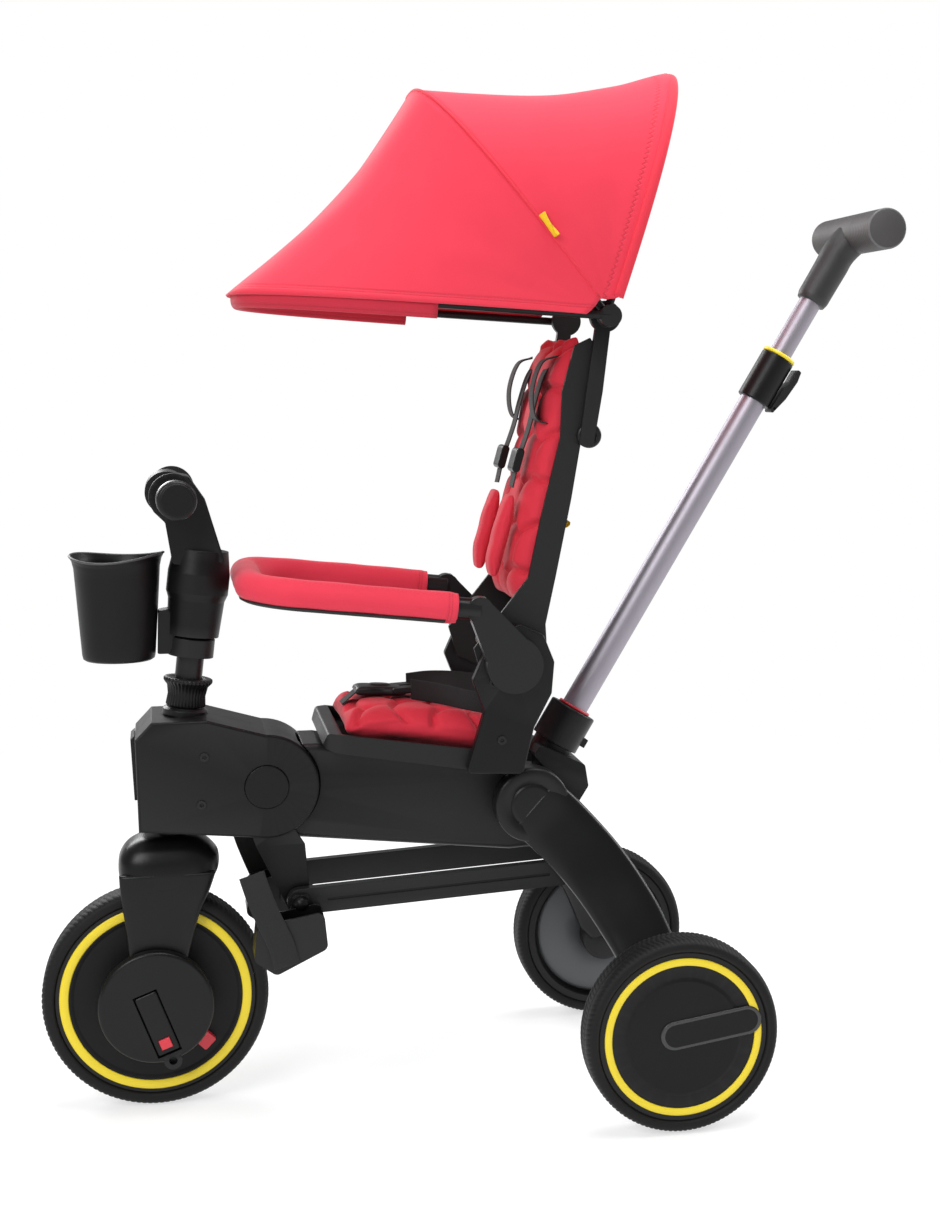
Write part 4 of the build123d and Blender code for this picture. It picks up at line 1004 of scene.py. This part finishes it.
@dataclass
class Cushions:
    """Quilted seat and back cushions and the shoulder pads."""

    half: float = 88.0
    scale_width: float = 62.0
    scale_pitch: float = 50.0

    def scallops(self, across: np.ndarray, along: np.ndarray, width: float, pitch: float) -> np.ndarray:
        """Height of overlapping fan-shaped puffs, 1 on their crowns and 0 in the sewn lines.

        Rows of discs are laid up the pad, each row shifted half a width; a point belongs to the lowest row
        whose disc covers it, and its height falls to 0 at that disc's arc and at the arc below it.
        """
        radius = width * 0.62
        height = np.zeros_like(across)
        done = np.zeros(across.shape, bool)
        fade = np.ones_like(across)
        rows = int(math.ceil((along.max() - along.min()) / pitch)) + 3
        for row in range(-2, rows):
            shift = (row % 2) * width / 2
            offset = (across - shift + width / 2) % width - width / 2
            far = np.hypot(offset, along - (along.min() + row * pitch)) / radius
            inside = (far < 1) & ~done
            dome = np.clip(1 - far**5, 0, 1) ** 0.5
            height = np.where(inside, dome * fade, height)
            done |= inside
            fade = np.minimum(fade, np.where(far >= 1, smooth((far - 1) * radius, 0, 9), 1.0))
        return height

    def back(self) -> bpy.types.Object:
        """Back cushion: stuffed, then sewn in overlapping scallops."""
        front = curve_through([(394, 566), (403, 620), (418, 690), (433, 760), (446, 824), (459, 862)], 61)
        rear = curve_through([(422, 556), (436, 606), (453, 686), (466, 764), (476, 815), (479, 862)], 61)
        made = pillow("back_quilt", front, rear, self.half, power=7)
        inflate(made, 4.0)
        points, normal = mesh_points(made)
        along = points[:, 2] - 560
        facing = smooth(-normal[:, 0], 0.05, 0.5)
        height = self.scallops(points[:, 1], along, self.scale_width, self.scale_pitch)
        side = smooth(np.abs(points[:, 1]), 70, 84)
        lift = 8.0 * (height - 0.75) * np.maximum(facing, 0.75 * side * smooth(-normal[:, 0], -0.6, 0.1))
        set_points(made, points + normal * lift[:, None])
        RED_PAD.dress(made)
        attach(made, "backrest")
        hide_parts("back_cushion")
        return made

    def seat(self) -> bpy.types.Object:
        """Seat cushion: stuffed, then sewn in scallops that open to the front."""
        top = curve_through([(206, 431), (220, 449), (262, 449), (300, 446), (345, 441), (386, 432)], 61)
        low = curve_through([(206, 424), (230, 419), (262, 416), (300, 411), (345, 404), (386, 398)], 61)
        made = pillow("seat_quilt", top, low, self.half, power=7)
        inflate(made, 4.0)
        points, normal = mesh_points(made)
        upward = smooth(normal[:, 2], -0.1, 0.45)
        height = self.scallops(points[:, 1], 400 - points[:, 0], 56, 42)
        lift = 8.0 * (height - 0.7) * upward
        set_points(made, points + normal * lift[:, None])
        RED_PAD.dress(made)
        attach(made, "frame")
        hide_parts("seat_cushion")
        return made

    def pads(self) -> list[bpy.types.Object]:
        """Shoulder pads, one object per side, in place of the CAD pair, which is hidden."""
        made: list[bpy.types.Object] = []
        for side, out in (("left", -1), ("right", 1)):
            front = curve_through([(394, 690), (384, 655), (374, 620), (370, 594)], 41)
            rear = curve_through([(406, 686), (399, 652), (390, 618), (386, 592)], 41)
            pad = pillow(f"shoulder_pad_{side}", front, rear, 19.0, out * 46.0, power=4)
            inflate(pad, 3.0, voxel=4.0)
            points, normal = mesh_points(pad)
            crease = np.sin(points[:, 2] * 0.19 + points[:, 1] * 0.05) * 0.35 * smooth(-normal[:, 0], 0, 0.6)
            set_points(pad, points + normal * crease[:, None])
            RED_PAD.dress(pad)
            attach(pad, "backrest")
            made.append(pad)
        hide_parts("shoulder_pads")
        return made

    def build(self) -> list[bpy.types.Object]:
        """All padded pieces."""
        return [self.back(), self.seat(), *self.pads()]


@dataclass
class BumperPad:
    """Red sleeve round the bumper bar's loop, with a zip under it and a stitched cuff at each end."""

    radius: float = 16.4
    corner: float = 58.0
    half: float = 121.0

    def path(self) -> np.ndarray:
        """Centre line of the loop, from the left arm round the front to the right arm."""
        rear_x, rear_z, front_x, front_z = 352.0, 566.0, 110.0, 592.0
        start = rear_x - 25
        run = np.linspace(0, 1, 80)
        straight = np.stack([start + (front_x + self.corner - start) * run, np.full(80, -self.half),
                             np.zeros(80)], axis=1)
        turn = np.linspace(0, math.pi / 2, 40)[1:]
        bend = np.stack([front_x + self.corner - self.corner * np.sin(turn),
                         -self.half + self.corner - self.corner * np.cos(turn),
                         np.zeros(39)], axis=1)
        across = np.linspace(-self.half + self.corner, 0, 41)[1:]
        cross = np.stack([np.full(40, front_x), across, np.zeros(40)], axis=1)
        left = np.vstack([straight, bend, cross])
        left[:, 2] = rear_z + (front_z - rear_z) * (rear_x - left[:, 0]) / (rear_x - front_x)
        right = left[-2::-1] * np.array([1, -1, 1])
        return np.vstack([left, right])

    def build(self) -> list[bpy.types.Object]:
        """Sleeve, zip and cuffs."""
        path = self.path()
        run = run_along(path)
        ends = np.minimum(run, run[-1] - run)
        turn = np.linspace(0, 2 * math.pi, 48, endpoint=False)
        cuff = 0.06 * (1 - smooth(ends, 0, 9))
        swell = 1 - cuff + 0.012 * np.sin(run * 0.11) + 0.01 * np.sin(run * 0.047 + 1)
        down = np.exp(-((turn - 1.5 * math.pi) / 0.33) ** 2)
        groove = 1.2 * np.exp(-((turn - 1.32 * math.pi) / 0.09) ** 2)
        radial = (self.radius * swell[:, None]) * (1 + 0.07 * down[None]) - groove[None]
        section = np.stack([radial * np.cos(turn), radial * np.sin(turn)], axis=-1)
        grid = tube_grid(path, section, np.array([0, 0, 1.0]))
        uv = np.stack(np.broadcast_arrays(turn[None] * self.radius * 0.001, ends[:, None] * 0.001), axis=-1)
        sleeve = closed_tube("bumper_pad", grid, uv)
        SLEEVE_CLOTH.dress(sleeve)
        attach(sleeve, "bumper")
        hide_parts("bumper_sleeve")
        made = [sleeve]
        for name, lean, wide, finish in (("bumper_zip", 1.34, 3.2, WEBBING),
                                         ("bumper_flap", 1.62, 4.2, RED_DARK)):
            angle = lean * math.pi
            keep = slice(6, len(path) - 6)
            spot = (self.radius + 0.9) * np.array([[math.cos(angle), math.sin(angle)]])
            centre = tube_grid(path, spot, np.array([0, 0, 1.0]))[keep, 0]
            line = path[keep]
            ahead = np.gradient(line, axis=0)
            side = np.cross(centre - line, ahead)
            side /= np.linalg.norm(side, axis=1)[:, None]
            strip = ribbon(name, centre, wide, 1.6, side)
            finish.dress(strip)
            made.append(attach(strip, "bumper"))
        return made


@dataclass
class Harness:
    """Webbing straps and the buckle."""

    def build(self) -> list[bpy.types.Object]:
        """Shoulder, waist and crotch straps, adjusters and the buckle."""
        made: list[bpy.types.Object] = []
        for side, out in (("left", -1), ("right", 1)):
            path = curve_through([(452, out * 42, 836), (438, out * 43, 818), (428, out * 45, 788),
                                  (421, out * 46, 760), (408, out * 47, 722), (401, out * 46, 694)], 60)
            strap = ribbon(f"shoulder_web_{side}", path, 12.5, 1.7, np.array([0, 1.0, 0]))
            loop = curve_through([(447, out * 64, 838), (430, out * 68, 830), (420, out * 69, 800),
                                  (423, out * 68, 772), (438, out * 64, 764)], 50)
            band = ribbon(f"shoulder_loop_{side}", loop, 12.5, 1.7, np.array([0, 1.0, 0]))
            waist = curve_through([(384, out * 82, 452), (350, out * 70, 458), (318, out * 46, 463),
                                   (290, out * 20, 465)], 50)
            belt = ribbon(f"waist_web_{side}", waist, 12.0, 1.7, np.array([0.2, 0.3 * out, 1.0]))
            for piece, body in ((strap, "backrest"), (band, "backrest"), (belt, "frame")):
                WEBBING.dress(piece)
                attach(piece, body)
                made.append(piece)
            slide = plate(f"strap_slide_{side}", capsule((409, 733), (404, 715), 4.5), out * 46 - 16,
                          out * 46 + 16, 1.2)
            BLACK_SMOOTH.dress(slide)
            made.append(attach(slide, "backrest"))
        crotch = curve_through([(212, -3, 449), (236, -2, 466), (262, 0, 463), (292, 2, 461), (330, 4, 449)],
                               60)
        strap = ribbon("crotch_web", crotch, 13.0, 1.8, np.array([0, 1.0, 0]))
        WEBBING.dress(strap)
        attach(strap, "frame")
        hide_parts("seat_straps")
        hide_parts("shoulder_straps")
        made.append(strap)
        made += self.buckle()
        return made

    def buckle(self) -> list[bpy.types.Object]:
        """Side-release buckle: a crowned body with a raised button and two tongues."""
        rows, cols = 41, 33
        a = np.linspace(-1, 1, rows)[:, None]
        b = np.linspace(-1, 1, cols)[None, :]
        full = np.clip((1 - np.abs(a) ** 6) * (1 - np.abs(b) ** 6), 0, 1) ** 0.4
        waist = 1 - 0.16 * np.exp(-(a / 0.35) ** 2)
        x = 256 + 29 * a + 0 * b
        y = 20 * b * waist
        rise = 461.5 - 0.05 * (x - 256)
        top = rise + 6.5 * full + 1.6 * smooth(-np.hypot(a * 1.5, b * 1.4), -0.75, -0.55)
        low = rise - 4.5 * full
        upper = np.stack([x, y, top], axis=-1).reshape(-1, 3)
        lower = np.stack([x, y, low], axis=-1).reshape(-1, 3)
        faces = grid_faces(rows, cols, False, False)
        every = np.vstack([faces, faces[:, ::-1] + rows * cols]).tolist()
        body = face_out(make_object("buckle_body", np.vstack([upper, lower]), every), 1e-5)
        BLACK_SMOOTH.dress(body)
        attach(body, "frame")
        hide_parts("buckle")
        made = [body]
        for side, out in (("left", -1), ("right", 1)):
            tongue = plate(f"buckle_tongue_{side}", capsule((272, 463), (292, 464), 3.2), out * 12 - 9,
                           out * 12 + 9, 1.0)
            BLACK.dress(tongue)
            made.append(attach(tongue, "frame"))
        return made


@dataclass
class CupHolder:
    """Drink cup with a wavy flared lip, on a bracket behind it."""

    centre: tuple[float, float, float] = (-31.0, 0.0, 506.0)
    height: float = 116.0

    def build(self) -> list[bpy.types.Object]:
        """Cup, lip and bracket."""
        steps, top = 128, self.height
        turn = np.linspace(0, 2 * math.pi, steps, endpoint=False)[None]
        wave = 3.4 * np.cos(2 * turn + 0.6) - 1.6 + 1.2 * np.cos(turn)
        outline = np.array([(0.1, 0), (36, 0), (38.6, 1.8), (39.6, 6), (43.5, 60), (46.5, 102), (48.4, 110),
                            (50.8, top - 1.5), (51, top), (49.6, top + 0.2), (46.2, 109), (44.2, 100),
                            (41.0, 58), (37.2, 5), (35, 3), (0.1, 3)])
        pieces = [np.linspace(a, b, 5, endpoint=False) for a, b in zip(outline[:-1], outline[1:])]
        dense = np.vstack([*pieces, outline[-1:]])
        narrowing = np.minimum(0, wave) * 0.25
        rise = smooth(dense[:, 1], 70, top)[:, None] * wave
        radius = dense[:, :1] + smooth(dense[:, 1], 100, top)[:, None] * narrowing
        grid = np.stack([self.centre[0] + radius * np.cos(turn), radius * np.sin(turn) + 0 * turn,
                         self.centre[2] + dense[:, 1:] + rise], axis=-1)
        faces = grid_faces(len(dense), steps, False, True).tolist()
        count = len(dense) * steps
        faces += [list(range(steps)), list(range(count - steps, count))[::-1]]
        cup = face_out(make_object("cup_body", grid.reshape(-1, 3), faces))
        CUP_BLACK.dress(cup)
        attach(cup, "steering")
        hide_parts("cup_holder")
        lip_radius = 50.4 + narrowing[0]
        lip_path = np.stack([self.centre[0] + lip_radius * np.cos(turn[0]), lip_radius * np.sin(turn[0]),
                             self.centre[2] + top - 0.4 + wave[0]], axis=1)
        ring = np.linspace(0, 2 * math.pi, 12, endpoint=False)
        closed = np.vstack([lip_path[-1:], lip_path, lip_path[:1]])
        section = np.stack([1.5 * np.cos(ring), 1.3 * np.sin(ring)], axis=1)
        lip_grid = tube_grid(closed, section, np.array([0, 0, 1.0]))[1:-1]
        lip_faces = grid_faces(steps, len(ring), True, True).tolist()
        lip = face_out(make_object("cup_lip", lip_grid.reshape(-1, 3), lip_faces))
        CUP_LIP.dress(lip)
        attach(lip, "steering")
        side_view = np.array([(10.5, 512), (25, 512), (31, 528), (31, 552), (24, 562), (12, 560)], float)
        bracket = plate("cup_bracket", side_view, -13, 13, 2.0)
        BLACK.dress(bracket)
        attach(bracket, "steering")
        return [cup, lip, bracket]


@dataclass
class Handles:
    """End pieces of the handlebar and the parent's push handle."""

    grip_radius: float = 23.0
    grip_half: float = 95.0

    def build(self) -> list[bpy.types.Object]:
        """Push handle, its end caps, clamp ring, socket ring and the handlebar's end rings."""
        made: list[bpy.types.Object] = []
        centre = on_push(645) + np.array([9.0, 0, 0])
        y = np.linspace(-self.grip_half, self.grip_half, 191)
        ripple = 0.25 * (np.cos(y * 2 * math.pi / 5) > 0.2)
        ends = smooth(self.grip_half - np.abs(y), 0, 3)
        radius = self.grip_radius - 2.2 + 2.2 * ends**0.5 - ripple * (np.abs(y) > 34) * (np.abs(y) < 88)
        outline = [(0.0, y[0]), *zip(radius, y), (0.0, y[-1])]
        bar = turned("push_bar", centre, np.array([0, 1, 0]), outline, 96)
        GRIP.dress(bar)
        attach(bar, "push_handle")
        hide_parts("push_grip")
        made.append(bar)
        for side, out in (("left", -1), ("right", 1)):
            cap = turned(f"push_cap_{side}", centre + np.array([0, out * 88.0, 0]), np.array([0, out, 0]),
                         [(22.4, 0), (22.9, 1), (22.9, 5.2), (22, 6.7), (20, 6.9), (19.4, 6.3), (0, 6.3)],
                         96)
            GRIP_END.dress(cap)
            made.append(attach(cap, "push_handle"))
        knots = [on_push(along) for along in (553, 575, 600, 622)] + [centre + np.array([2.0, 0, 3])]
        neck = curve_through(knots, 60)
        turn = np.linspace(0, 2 * math.pi, 48, endpoint=False)
        share, stations = np.linspace(0, 1, 60), [0, 0.06, 0.3, 0.6, 0.85, 1]
        width = np.interp(share, stations, [17, 18.8, 19, 20.5, 25, 26])
        depth = np.interp(share, stations, [17, 18.8, 19, 19.5, 20, 18])
        shape = np.stack([width[:, None] * np.cos(turn), depth[:, None] * np.sin(turn)], axis=-1)
        stalk = closed_tube("push_neck", tube_grid(neck, shape, np.array([1.0, 0, -0.3])))
        GRIP_NECK.dress(stalk)
        made.append(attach(stalk, "push_handle"))
        ring = turned("clamp_ring", on_push(478.2), PUSH_AXIS,
                      [(13.2, 0), (19, 0), (20.2, 1.2), (20.2, 3), (19, 4.2), (13.2, 4.2), (13.2, 0)], 72)
        YELLOW.dress(ring)
        made.append(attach(ring, "frame"))
        foot = turned("socket_ring", on_push(5.2), PUSH_AXIS,
                      [(15.6, 0), (19, 0), (19.6, 0.8), (19.6, 2.2), (19, 3), (15.6, 3), (15.6, 0)], 72)
        RED_PLASTIC.dress(foot)
        made.append(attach(foot, "frame"))
        for side, out in (("left", -1), ("right", 1)):
            inner, outer = np.array([24.0, 0, 691.0]), np.array([34.0, out * 132.0, 689.0])
            axis = (outer - inner) / np.linalg.norm(outer - inner)
            end = turned(f"bar_ring_{side}", outer - axis * 16, axis,
                         [(15.2, 0), (19.6, 0.5), (20.3, 2), (20.3, 9), (19.6, 10.5), (15.2, 11),
                          (15.2, 0)], 72)
            STEEL_MATT.dress(end)
            made.append(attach(end, "steering"))
            knob = turned(f"bar_knob_{side}", outer - axis * 5, axis,
                          [(0, 0), (19.5, 0), (20.8, 1.2), (20.8, 8), (19.6, 11), (17, 12.2),
                           (15.8, 11.4), (0, 11.2)], 72)
            BLACK.dress(knob)
            made.append(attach(knob, "steering"))
        return made


@dataclass
class Footrest:
    """Hook-and-loop straps over the foot cups."""

    def build(self) -> list[bpy.types.Object]:
        """One strap a side."""
        made: list[bpy.types.Object] = []
        for side, out in (("left", -1), ("right", 1)):
            path = curve_through([(104, out * 112, 284), (111, out * 117.2, 262), (121, out * 118, 236),
                                  (134, out * 118, 206), (140, out * 117, 182)], 50)
            strap = ribbon(f"foot_web_{side}", path, 14.0, 2.4, np.array([1.0, 0, 0.35]))
            WEBBING.dress(strap)
            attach(strap, "footrest")
            made.append(strap)
        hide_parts("foot_straps")
        return made


@dataclass
class Collar:
    """Fluted engaging collar on the steering column."""

    def build(self) -> list[bpy.types.Object]:
        """The collar, flutes round its skirt."""
        profile = [(15.1, 0), (21.6, 0), (22, 1), (20.8, 12), (22.6, 22), (26.2, 26), (27, 27.5), (27, 30),
                   (26, 31), (15.1, 31), (15.1, 0)]
        made = turned("collar_body", on_steering(452.5), STEER_AXIS, profile, 216, 0.9, 36)
        BLACK.dress(made)
        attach(made, "steer_collar")
        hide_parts("steer_collar")
        return [made]


@dataclass
class ForkAndLegs:
    """The bell-crowned fork and the two curved rear legs."""

    blade_in: float = 27.2
    blade_out: float = 44.0
    leg_thick: float = 13.0

    @staticmethod
    def rounded_section(a: np.ndarray, b: np.ndarray, power: float, count: int = 64) -> np.ndarray:
        """Superellipse sections of half sizes a and b, shape (n, count, 2)."""
        turn = np.linspace(0, 2 * math.pi, count, endpoint=False)
        cos, sin = np.cos(turn), np.sin(turn)
        first = np.sign(cos) * np.abs(cos) ** (2 / power)
        second = np.sign(sin) * np.abs(sin) ** (2 / power)
        return np.stack([a[:, None] * first, b[:, None] * second], axis=-1)

    def column(self, name: str, knots: list[tuple[float, ...]], y_mid: float,
               power: float) -> bpy.types.Object:
        """Upright loft from (height, low x, high x, half y) knots."""
        dense = curve_through(knots, 70)
        z, low, high, half = dense.T
        section = self.rounded_section((high - low) / 2, half, power)
        grid = np.stack([((low + high) / 2)[:, None] + section[..., 0], y_mid + section[..., 1],
                         np.broadcast_to(z[:, None], section.shape[:2])], axis=-1)
        return closed_tube(name, grid)

    def fork(self) -> list[bpy.types.Object]:
        """Crown over the tyre and a blade each side of the wheel."""
        knots = [(254, -36, 63, 44), (262, -37, 68, 44), (272, -38, 72, 43.6), (284, -37, 72, 41.5),
                 (294, -32, 65, 37), (301, -25, 57, 31), (306, -15, 49, 26), (308, -2, 42, 21)]
        crown = self.column("fork_crown", knots, 0.0, 3.6)
        BLACK_SMOOTH.dress(crown)
        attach(crown, "steering")
        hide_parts("fork")
        made = [crown]
        half = (self.blade_out - self.blade_in) / 2
        knots = [(104, -16, 16, half * 0.9), (112, -24, 24, half), (125, -26.5, 26.5, half),
                 (155, -27, 31, half), (190, -29, 40, half), (225, -33, 50, half), (250, -36, 61, half),
                 (270, -37, 68, half * 0.96)]
        for side, out in (("left", -1), ("right", 1)):
            y_mid = out * (self.blade_in + self.blade_out) / 2
            blade = self.column(f"fork_blade_{side}", knots, y_mid, 3.6)
            BLACK_SMOOTH.dress(blade)
            made.append(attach(blade, "steering"))
        return made

    def leg(self, side: str, out: int) -> list[bpy.types.Object]:
        """One rear leg: a flat rounded section swept on a bow from pivot to axle, its round root and hub."""
        body, node, steps = f"leg_{side}", f"rear_leg_{side}", 90
        line = curve_through([(418, out * 81.2, 340), (446, out * 85, 314), (486, out * 100, 268),
                              (521, out * 124, 212), (544, out * 148, 158), (555, out * 160.5, 116)],
                             steps)
        share = np.linspace(0, 1, steps)
        wide = np.interp(share, [0, 0.12, 0.35, 0.6, 0.85, 1], [38, 37.5, 37, 36, 32, 27])
        wide = wide * (1 - 0.25 * smooth(share, 0.93, 1.0))
        section = self.rounded_section(wide, np.full(steps, self.leg_thick), 4.2)
        grid = tube_grid(line, section, np.array([0, 1.0, 0]))
        grid[..., 1] = np.clip(grid[..., 1] * out, 68.3, 176.2) * out
        leg = closed_tube(f"leg_body_{side}", grid)
        BLACK_SMOOTH.dress(leg)
        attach(leg, body)
        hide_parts(node)
        root = turned(f"leg_root_{side}", np.array([416, out * 68.2, 341]), np.array([0, out, 0]),
                      [(0, 0), (40, 0), (42, 1.5), (42, 22), (41.2, 24.6), (38.6, 25.8), (25.4, 25.8),
                       (24.6, 24.6), (23.8, 24.6), (23, 25.8), (20, 26), (0, 26)], 128)
        BLACK_SMOOTH.dress(root)
        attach(root, body)
        hub = turned(f"leg_hub_{side}", np.array([557, out * 152, 107.5]), np.array([0, out, 0]),
                     [(0, 0), (25, 0), (28, 3), (28, 23), (26, 25), (12, 25.4), (12, 29), (0, 29)], 96)
        BLACK.dress(hub)
        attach(hub, body)
        return [leg, root, hub]

    def build(self) -> list[bpy.types.Object]:
        """Fork and both legs."""
        return [*self.fork(), *self.leg("left", -1), *self.leg("right", 1)]


@dataclass
class BackDetails:
    """Small pieces on the rear of the backrest."""

    def build(self) -> list[bpy.types.Object]:
        """Yellow pull tag and the round recline knobs."""
        steps = np.linspace(-math.pi / 2, math.pi / 2, 17)
        path = np.stack([453 + 8.5 * np.cos(steps) ** 0.7, np.full(17, -52.0), 657 + 2.2 * np.sin(steps)],
                        axis=1)
        tag = ribbon("recline_tag", path, 11.0, 1.0, np.array([0, 1.0, 0.9]))
        YELLOW_TAPE.dress(tag)
        made = [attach(tag, "backrest")]
        for side, out in (("left", -1), ("right", 1)):
            knob = turned(f"arm_knob_{side}", np.array([478, out * 95.5, 752]), np.array([0, out, 0]),
                          [(0, 0), (13, 0), (13.6, 1), (13.6, 5), (12.4, 6.4), (8, 6.8), (7.4, 6), (0, 6)],
                          72)
            BLACK_SMOOTH.dress(knob)
            made.append(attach(knob, "backrest"))
        return made


@dataclass
class CadFinishes:
    """Finishes for the CAD pieces that stay in view."""

    finishes: dict[str, Finish] = field(default_factory=lambda: {
        "push_tube_lower": TUBE,
        "push_tube_upper": TUBE,
        "pivot_pins": STEEL,
        "crank_axle": STEEL,
        "frame_screws": BLACK_SMOOTH,
        "head_screws": BLACK_SMOOTH,
        "head_bushes": BLACK_SMOOTH,
        "steering_column": BLACK_SMOOTH,
        "crank_discs": BLACK_SMOOTH,
        "pedal_left": BLACK_SMOOTH,
        "pedal_right": BLACK_SMOOTH,
        "bumper_bar": BLACK_SMOOTH,
        "bar_grips": BLACK_MATT,
        "front_wheel": BLACK_MATT,
        "rear_wheel_left": BLACK_MATT,
        "rear_wheel_right": BLACK_MATT,
        "back_shell": BLACK_MATT,
        "clutch_lever": RED_PLASTIC,
        "pedal_button_left": RED_PLASTIC,
        "pedal_button_right": RED_PLASTIC,
    })

    def dress(self, nodes: dict[str, bpy.types.Object]) -> None:
        """Give every CAD piece its finish; those not named are satin black."""
        for name, made in nodes.items():
            self.finishes.get(name, BLACK).dress(made)


@dataclass
class Studio:
    """Pale floor, soft lights and the camera."""

    def area(self, name: str, where: tuple[float, float, float], towards: tuple[float, float, float],
             size: float, power: float) -> None:
        """One square soft light aimed at a point, in metres."""
        lamp = bpy.data.lights.new(name, "AREA")
        lamp.shape = "SQUARE"
        lamp.size = size
        lamp.energy = power
        made = bpy.data.objects.new(name, lamp)
        made.location = where
        made.rotation_euler = (Vector(towards) - Vector(where)).to_track_quat("-Z", "Y").to_euler()
        bpy.context.scene.collection.objects.link(made)

    def build(self) -> None:
        """Floor, world, lights and camera."""
        scene = bpy.context.scene
        floor_mesh = bpy.data.meshes.new("floor")
        floor_mesh.from_pydata([(-12, -12, -0.001), (12, -12, -0.001), (12, 12, -0.001), (-12, 12, -0.001)],
                               [], [(0, 1, 2, 3)])
        floor = bpy.data.objects.new("floor", floor_mesh)
        scene.collection.objects.link(floor)
        pale = bpy.data.materials.new("PaleFloor")
        pale.use_nodes = True
        shader = pale.node_tree.nodes["Principled BSDF"]
        shader.inputs["Base Color"].default_value = (0.45, 0.45, 0.45, 1)
        shader.inputs["Roughness"].default_value = 0.9
        shader.inputs["Specular IOR Level"].default_value = 0.1
        shader.inputs["Emission Color"].default_value = (1, 1, 1, 1)
        shader.inputs["Emission Strength"].default_value = 0.62
        tree = pale.node_tree
        where = tree.nodes.new("ShaderNodeTexCoord")
        far = tree.nodes.new("ShaderNodeVectorMath")
        far.operation = "LENGTH"
        tree.links.new(where.outputs["Object"], far.inputs[0])
        fade = tree.nodes.new("ShaderNodeMapRange")
        fade.interpolation_type = "SMOOTHSTEP"
        fade.inputs["From Min"].default_value = 0.7
        fade.inputs["From Max"].default_value = 2.2
        tree.links.new(far.outputs["Value"], fade.inputs["Value"])
        white_floor = tree.nodes.new("ShaderNodeEmission")
        blend = tree.nodes.new("ShaderNodeMixShader")
        tree.links.new(fade.outputs[0], blend.inputs[0])
        tree.links.new(shader.outputs[0], blend.inputs[1])
        tree.links.new(white_floor.outputs[0], blend.inputs[2])
        tree.links.new(blend.outputs[0], tree.nodes["Material Output"].inputs["Surface"])
        floor_mesh.materials.append(pale)
        world = bpy.data.worlds.new("Studio")
        world.use_nodes = True
        tree = world.node_tree
        soft = tree.nodes["Background"]
        soft.inputs["Color"].default_value = (0.97, 0.98, 1.0, 1)
        soft.inputs["Strength"].default_value = 0.34
        white = tree.nodes.new("ShaderNodeBackground")
        white.inputs["Color"].default_value = (1, 1, 1, 1)
        seen = tree.nodes.new("ShaderNodeLightPath")
        mix = tree.nodes.new("ShaderNodeMixShader")
        tree.links.new(seen.outputs["Is Camera Ray"], mix.inputs[0])
        tree.links.new(soft.outputs[0], mix.inputs[1])
        tree.links.new(white.outputs[0], mix.inputs[2])
        tree.links.new(mix.outputs[0], tree.nodes["World Output"].inputs["Surface"])
        scene.world = world
        self.area("KeyLeft", (-1.9, -2.4, 2.4), (0, 0, 0.5), 1.6, 62)
        self.area("Top", (0.2, -0.2, 2.9), (0, 0, 0.4), 1.8, 58)
        self.area("RimRight", (2.3, 0.6, 1.5), (0, 0, 0.6), 1.2, 34)
        self.area("RimBack", (-1.2, 2.4, 1.8), (0, 0, 0.6), 1.4, 40)
        lens = bpy.data.cameras.new("Camera")
        lens.sensor_width = 36.0
        lens.lens = 56.07
        lens.shift_x = -0.0742
        lens.shift_y = -0.0103
        camera = bpy.data.objects.new("Camera", lens)
        camera.location = (-0.33994, -2.12393, 0.81740)
        yaw, pitch = 0.20741, 0.11553
        ahead = Vector((math.sin(yaw) * math.cos(pitch), math.cos(yaw) * math.cos(pitch), -math.sin(pitch)))
        camera.rotation_euler = ahead.to_track_quat("-Z", "Y").to_euler()
        scene.collection.objects.link(camera)
        scene.camera = camera
        scene.view_settings.view_transform = "Standard"


def main() -> None:
    """Build every sub-assembly in order and log each piece's name and face count."""
    logging.basicConfig(level=logging.INFO, format="%(name)s: %(message)s")
    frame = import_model()
    CadFinishes().dress(frame["nodes"])
    for part in (Wheels(), Canopy(), Cushions(), BumperPad(), Harness(), CupHolder(), Handles(), Footrest(),
                 Collar(), ForkAndLegs(), BackDetails()):
        for made in part.build():
            LOG.info("%s: %s, %d faces", type(part).__name__, made.name, len(made.data.polygons))
    Studio().build()


if __name__ == "__main__":
    main()
